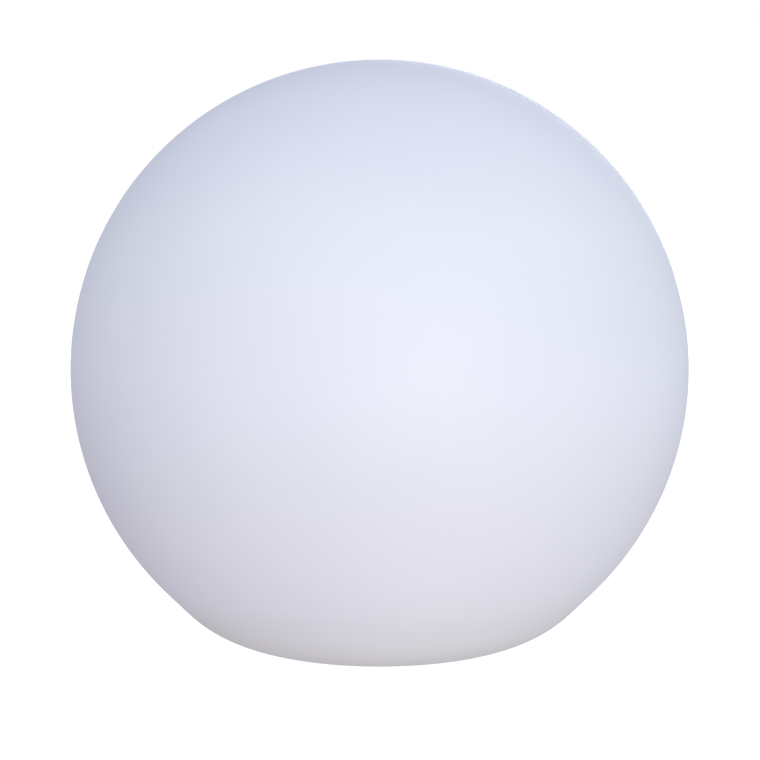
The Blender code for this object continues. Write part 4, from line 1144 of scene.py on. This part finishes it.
def make_button():
    """A silicone cap with an inlaid sign and grip grooves round it, and the clip in its stem's groove."""
    engraving = power_symbol(CAP_LOW - OVERRUN, CAP_LOW + 0.0007)
    grip_places = [polar(CAP_RADIUS + 0.0001, 15 * k) for k in range(24)]
    grips = stood(rod(0.0003, CAP_LOW + 0.0016, 0.0118), grip_places, 12)
    cap = lathe(button_outline(), 96)
    add_piece("power_button_cap", cap, SILICONE, "power_button", body="button", cuts=[[engraving], grips])
    sign = power_symbol(CAP_LOW + 0.00042, CAP_LOW + 0.00072)
    add_piece("power_button_sign", sign, WHITE_SIGN, body="button")
    clip = arc(0, 0, 0.0040, 30, 330, 60) + arc(0, 0, 0.00195, 330, 30, 48)
    ring = prism(softened(clip, 0.0002, 2), 0.0189, 0.0194, 0.00008)
    add_piece("button_clip_ring", ring, STEEL, "button_clip", body="button")


def make_spring():
    """A coil whose ends lie nearly flat."""
    low, high = heights_of("button_spring")
    radius, wire_radius, turns, steps, flat = 0.0066, 0.0004, 4, 28, 0.11
    count = turns * steps
    points = []
    for k in range(count + 1):
        share = min(1.0, max(0.0, (k / count - flat) / (1 - 2 * flat)))
        height = low + wire_radius + (high - low - 2 * wire_radius) * share
        points.append((*polar(radius, 360 * k / steps), height))
    spring = wire("button_spring_coil", points, wire_radius)
    finish(spring, STEEL, "button_spring")
    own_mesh(spring)


def make_switch():
    """A square switch with riveted corners, and the plunger that the button's stem pushes."""
    low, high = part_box("tact_switch")
    well = lathe(drill(0.0019, low.z, high.z - 0.0003, 0.0002), 40)
    add_piece("tact_switch_body", box(low, high, 0.0002), CHIP_BLACK, "tact_switch", cuts=[[well]])
    rivet = [(0, 0.00012), (0.00025, 0.0001), (0.0003, 0.0), (0, 0.0)]
    rivets = stood(rivet, [(x, y, low.z - 0.0001) for x, y in corners(0.0024, 0.0024)], 16)
    add_piece("tact_switch_rivets", joined(rivets), STEEL)
    plunger = softened(rod(0.0015, *heights_of("switch_plunger")), 0.0002, closed=False)
    add_piece("switch_plunger_button", lathe(plunger, 48), LEAD_RED, "switch_plunger", body="button")


# Charging port


def bolt_sign(low, high):
    """A plain lightning bolt, which marks the charging port."""
    half = [(0.0006, 0.0026), (-0.0014, -0.0004), (-0.0002, -0.0004)]
    outline = half + [(-x, -y) for x, y in half]
    return moved(prism(softened(outline, 0.00012, 2), low, high), 0, BOLT_SIGN_Y)


def make_socket():
    """A body over a round nose, lined with a metal sleeve, with a brass pin in its middle."""
    low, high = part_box("charge_socket")
    body_low = PORT_ROOF_Z + GAP
    nose = softened(rod(SNOUT_RADIUS, low.z, body_low + 0.0006), 0.0003, closed=False)
    bore = drill(0.0029, low.z, high.z - 0.0012, 0.0004)
    add_piece("charge_socket_body", box((low.x, low.y, body_low), high, 0.0004), FRAME_BLACK, "charge_socket",
              adds=[stood(nose, PORT, 64)], cuts=[stood(bore, PORT, 64)])
    inner, outer, start, end = 0.0026, 0.00285, low.z + 0.0012, high.z - 0.0014
    sleeve = softened([(inner, start), (outer, start), (outer, end), (inner, end)], 0.0001, 2)
    add_piece("charge_socket_sleeve", moved(lathe(sleeve, 64), 0, PORT_Y), STEEL)
    bottom, top = heights_of("socket_pin")
    radius = 0.001
    pin = [(0, top), (radius, top)] + arc(0, bottom + radius, radius, 0, -90, 12)
    add_piece("socket_pin_turned", moved(lathe(pin, 48), 0, PORT_Y), BRASS, "socket_pin")


def make_cover():
    """A flap with grip ridges at its free end, a bolt sign, and one long knuckle between the two lugs."""
    low, high = COVER_Z
    back, front, half, knuckle_radius, knuckle_half = -0.0355, -0.0185, 0.0095, 0.0020, 0.0064
    flap = prism(rounded_rectangle(-half, half, back, front, 0.004), low, high, 0.0005)
    knuckle = arc(HINGE_Y, HINGE_Z, knuckle_radius, 90, 330, 36)
    knuckle += [(back + 0.001, low + 0.0004), (back + 0.001, HINGE_Z + knuckle_radius)]
    barrel = prism(knuckle, -knuckle_half, knuckle_half, 0.0002, "X")
    tab = rounded_rectangle(-0.004, 0.004, front - 0.002, -0.0165, 0.0015)
    adds = [[barrel], [prism(tab, low + 0.0004, high - 0.0006, 0.0003)]]
    pin_hole = along_x(rod(HINGE_BORE, -0.008, 0.008), 32, HINGE_Y, HINGE_Z)
    cuts = [pin_hole, bolt_sign(low - OVERRUN, low + 0.0004)]
    for k in range(3):
        y = -0.0222 + 0.0012 * k
        ridge = rounded_rectangle(-0.0055, 0.0055, y - 0.0003, y + 0.0003, 0.00028, 4)
        cuts.append(prism(ridge, low - OVERRUN, low + 0.0003))
    add_piece("port_cover_flap", flap, HOUSING, "port_cover", body="cover", adds=adds, cuts=[cuts])
    add_piece("port_cover_sign", bolt_sign(low + 0.0001, low + 0.00042), SILICONE, body="cover")


def make_bung():
    """A plug with two sealing lips."""
    low, high = heights_of("port_bung")
    outline = [(0, high), (0.0050, high), *arc(0.0053, high - 0.0005, 0.0005, 80, -60, 8)]
    outline += [(0.0052, high - 0.0012), *arc(0.0056, high - 0.0017, 0.0005, 60, -60, 8)]
    outline += [(0.0054, low + 0.0003), (0.0060, low), (0, low)]
    add_piece("port_bung_plug", moved(lathe(outline, 80), 0, PORT_Y), SILICONE, "port_bung", body="cover")


def make_hinge_pin():
    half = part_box("port_hinge_pin")[1].x
    outline = softened(rod(0.00085, -half, half), 0.0004, 5, closed=False)
    pin = along_x(outline, 40, HINGE_Y, HINGE_Z)
    add_piece("port_hinge_pin_turned", pin, STEEL, "port_hinge_pin")


def make_pipe():
    """A light pipe with a domed end."""
    low, high = heights_of("indicator_pipe")
    radius = 0.0014
    outline = [(0, high), (radius, high), (radius, low + 0.0006), *arc(0, low + radius, radius, -35, -90, 10)]
    add_piece("indicator_pipe_rod", moved(lathe(outline, 48), PIPE_X, PIPE_Y), ACRYLIC, "indicator_pipe")


# Tether


def make_ring():
    """A straight hinge bar closed by half an ellipse, which droops until its end is just above the floor."""
    half, corner, reach, thick = 0.013, 0.004, 0.0440 - RING_Y, 0.0015
    droop = math.asin((RING_Z - thick - 0.0002) / reach)
    outline = arc(half - corner, corner, corner, -90, 0, 10)
    for k in range(1, 60):
        c, s = polar(1.0, 3 * k)
        outline.append((half * c, corner + (reach - corner) * s))
    outline += arc(-half + corner, corner, corner, 180, 270, 10)
    points = [(x, RING_Y + y * math.cos(droop), RING_Z - y * math.sin(droop)) for x, y in outline]
    finish(wire("tether_ring_wire", points, thick, True, 9), STEEL, "tether_ring", body="ring")


def make_saddle():
    """A strap bent round the ring's bar, with a wing and a screw on each side."""
    low, high = SADDLE_Z
    inner, outer, wing, half, margin = 0.00185, 0.00285, 0.0102, 0.0065, 0.0001
    outline = [(RING_Y - wing, high), (RING_Y - inner, high), *arc(RING_Y, RING_Z, inner, 180, 360, 32)]
    outline += [(RING_Y + inner, high), (RING_Y + wing, high), (RING_Y + wing, low), (RING_Y + outer, low)]
    outline += [*arc(RING_Y, RING_Z, outer, 360, 180, 32), (RING_Y - outer, low), (RING_Y - wing, low)]
    saddle = new_object("tether_saddle_strap", prism(softened(outline, 0.0003), -half, half, 0.0002, "X"))
    across, along = half + margin, wing + margin
    plan = rounded_rectangle(-across, across, RING_Y - along, RING_Y + along, 0.0022)
    carve(saddle, prism(plan, RING_Z - 2 * outer, high + outer), "INTERSECT")
    carve(saddle, joined(through(SCREW_CLEARANCE, low, high, places_of("saddle_screw", 2))))
    finish(saddle, STEEL, "tether_saddle")


make_globe()
make_inserts()
make_screws()
make_gasket()
make_rings()
make_housing()
make_lens()
make_led_board()
make_leds()
make_receiver()
make_control_board()
make_inner_frame()
make_battery()
make_strap()
make_plug()
make_leads()
make_button()
make_spring()
make_switch()
make_socket()
make_cover()
make_bung()
make_hinge_pin()
make_pipe()
make_ring()
make_saddle()


# Studio


def make_room():
    """Soft light from all round for the object. The camera itself sees white paper behind it."""
    world = bpy.data.worlds.new("studio")
    bpy.context.scene.world = world
    world.use_nodes = True
    tree = world.node_tree
    direction = add_node(tree, "TexCoord")["Generated"]
    height = add_node(tree, "VectorMath", {0: direction, 1: ROOM_AXIS}, operation="DOT_PRODUCT")["Value"]
    share = add_node(tree, "MapRange", {"Value": height, "From Min": -1.0})["Result"]
    room = tree.nodes["Background"]
    connect(room, {"Color": add_ramp(tree, share, ROOM_COLOURS)})
    paper = add_node(tree, "Background", {"Color": (1, 1, 1, 1)})["Background"]
    sides = {"Fac": add_node(tree, "LightPath")["Is Camera Ray"], 1: room.outputs["Background"], 2: paper}
    connect(tree.nodes["World Output"], {"Surface": add_node(tree, "MixShader", sides)["Shader"]})


def make_floor():
    """A pale floor that only the camera sees, and only from above."""
    bm = bmesh.new()
    level = Matrix.Translation((0, 0, FLOOR_Z))
    bmesh.ops.create_circle(bm, cap_ends=True, segments=64, radius=FLOOR_RADIUS, matrix=level)
    floor = new_object("floor", bm)
    surface = Surface("studio_floor", (0.88, 0.88, 0.88), 0.9)
    glow = surface.math("MULTIPLY", surface.node("LightPath")["Is Camera Ray"], 0.7)
    surface.set({"Specular IOR Level": 0.0, "Emission Color": (1, 1, 1, 1), "Emission Strength": glow})
    sides = {"Fac": surface.node("NewGeometry")["Backfacing"], 1: surface.shader.outputs["BSDF"],
             2: surface.node("BsdfTransparent")["BSDF"]}
    connect(surface.tree.nodes["Material Output"], {"Surface": surface.node("MixShader", sides)["Shader"]})
    floor.data.materials.append(surface.material)
    floor.visible_diffuse = False
    floor.visible_glossy = False
    floor.visible_transmission = False
    floor.visible_shadow = False


def aim_at(target, place):
    return (Vector(target) - Vector(place)).to_track_quat("-Z", "Y").to_euler()


def add_softbox(name, place, size, power, colour):
    data = bpy.data.lights.new(name, "AREA")
    data.shape = "DISK"
    data.size = size
    data.energy = power
    data.color = colour
    light = in_scene(name, data)
    light.location = place
    light.rotation_euler = aim_at((0, 0, CENTRE_Z), place)


def make_camera():
    data = bpy.data.cameras.new("camera")
    data.lens = LENS_MM
    data.sensor_width = SENSOR_MM
    data.clip_end = 50.0
    camera = in_scene("camera", data)
    forward, up = polar(VIEW_DISTANCE, VIEW_ELEVATION)
    camera.location = (0, -forward, CENTRE_Z + up)
    camera.rotation_euler = aim_at(VIEW_TARGET, camera.location)
    bpy.context.scene.camera = camera


make_room()
make_floor()
add_softbox("key", (0.47, -2.25, 0.75), 1.7, 20.5, (1.0, 0.94, 0.92))
add_softbox("under", (0.2, -0.5, -1.3), 1.2, 4.2, (1.0, 0.98, 0.82))
add_softbox("back", (0.4, 2.6, 0.5), 1.2, 12.5, (0.95, 0.97, 0.98))
make_camera()
bpy.context.scene.view_settings.view_transform = "Standard"
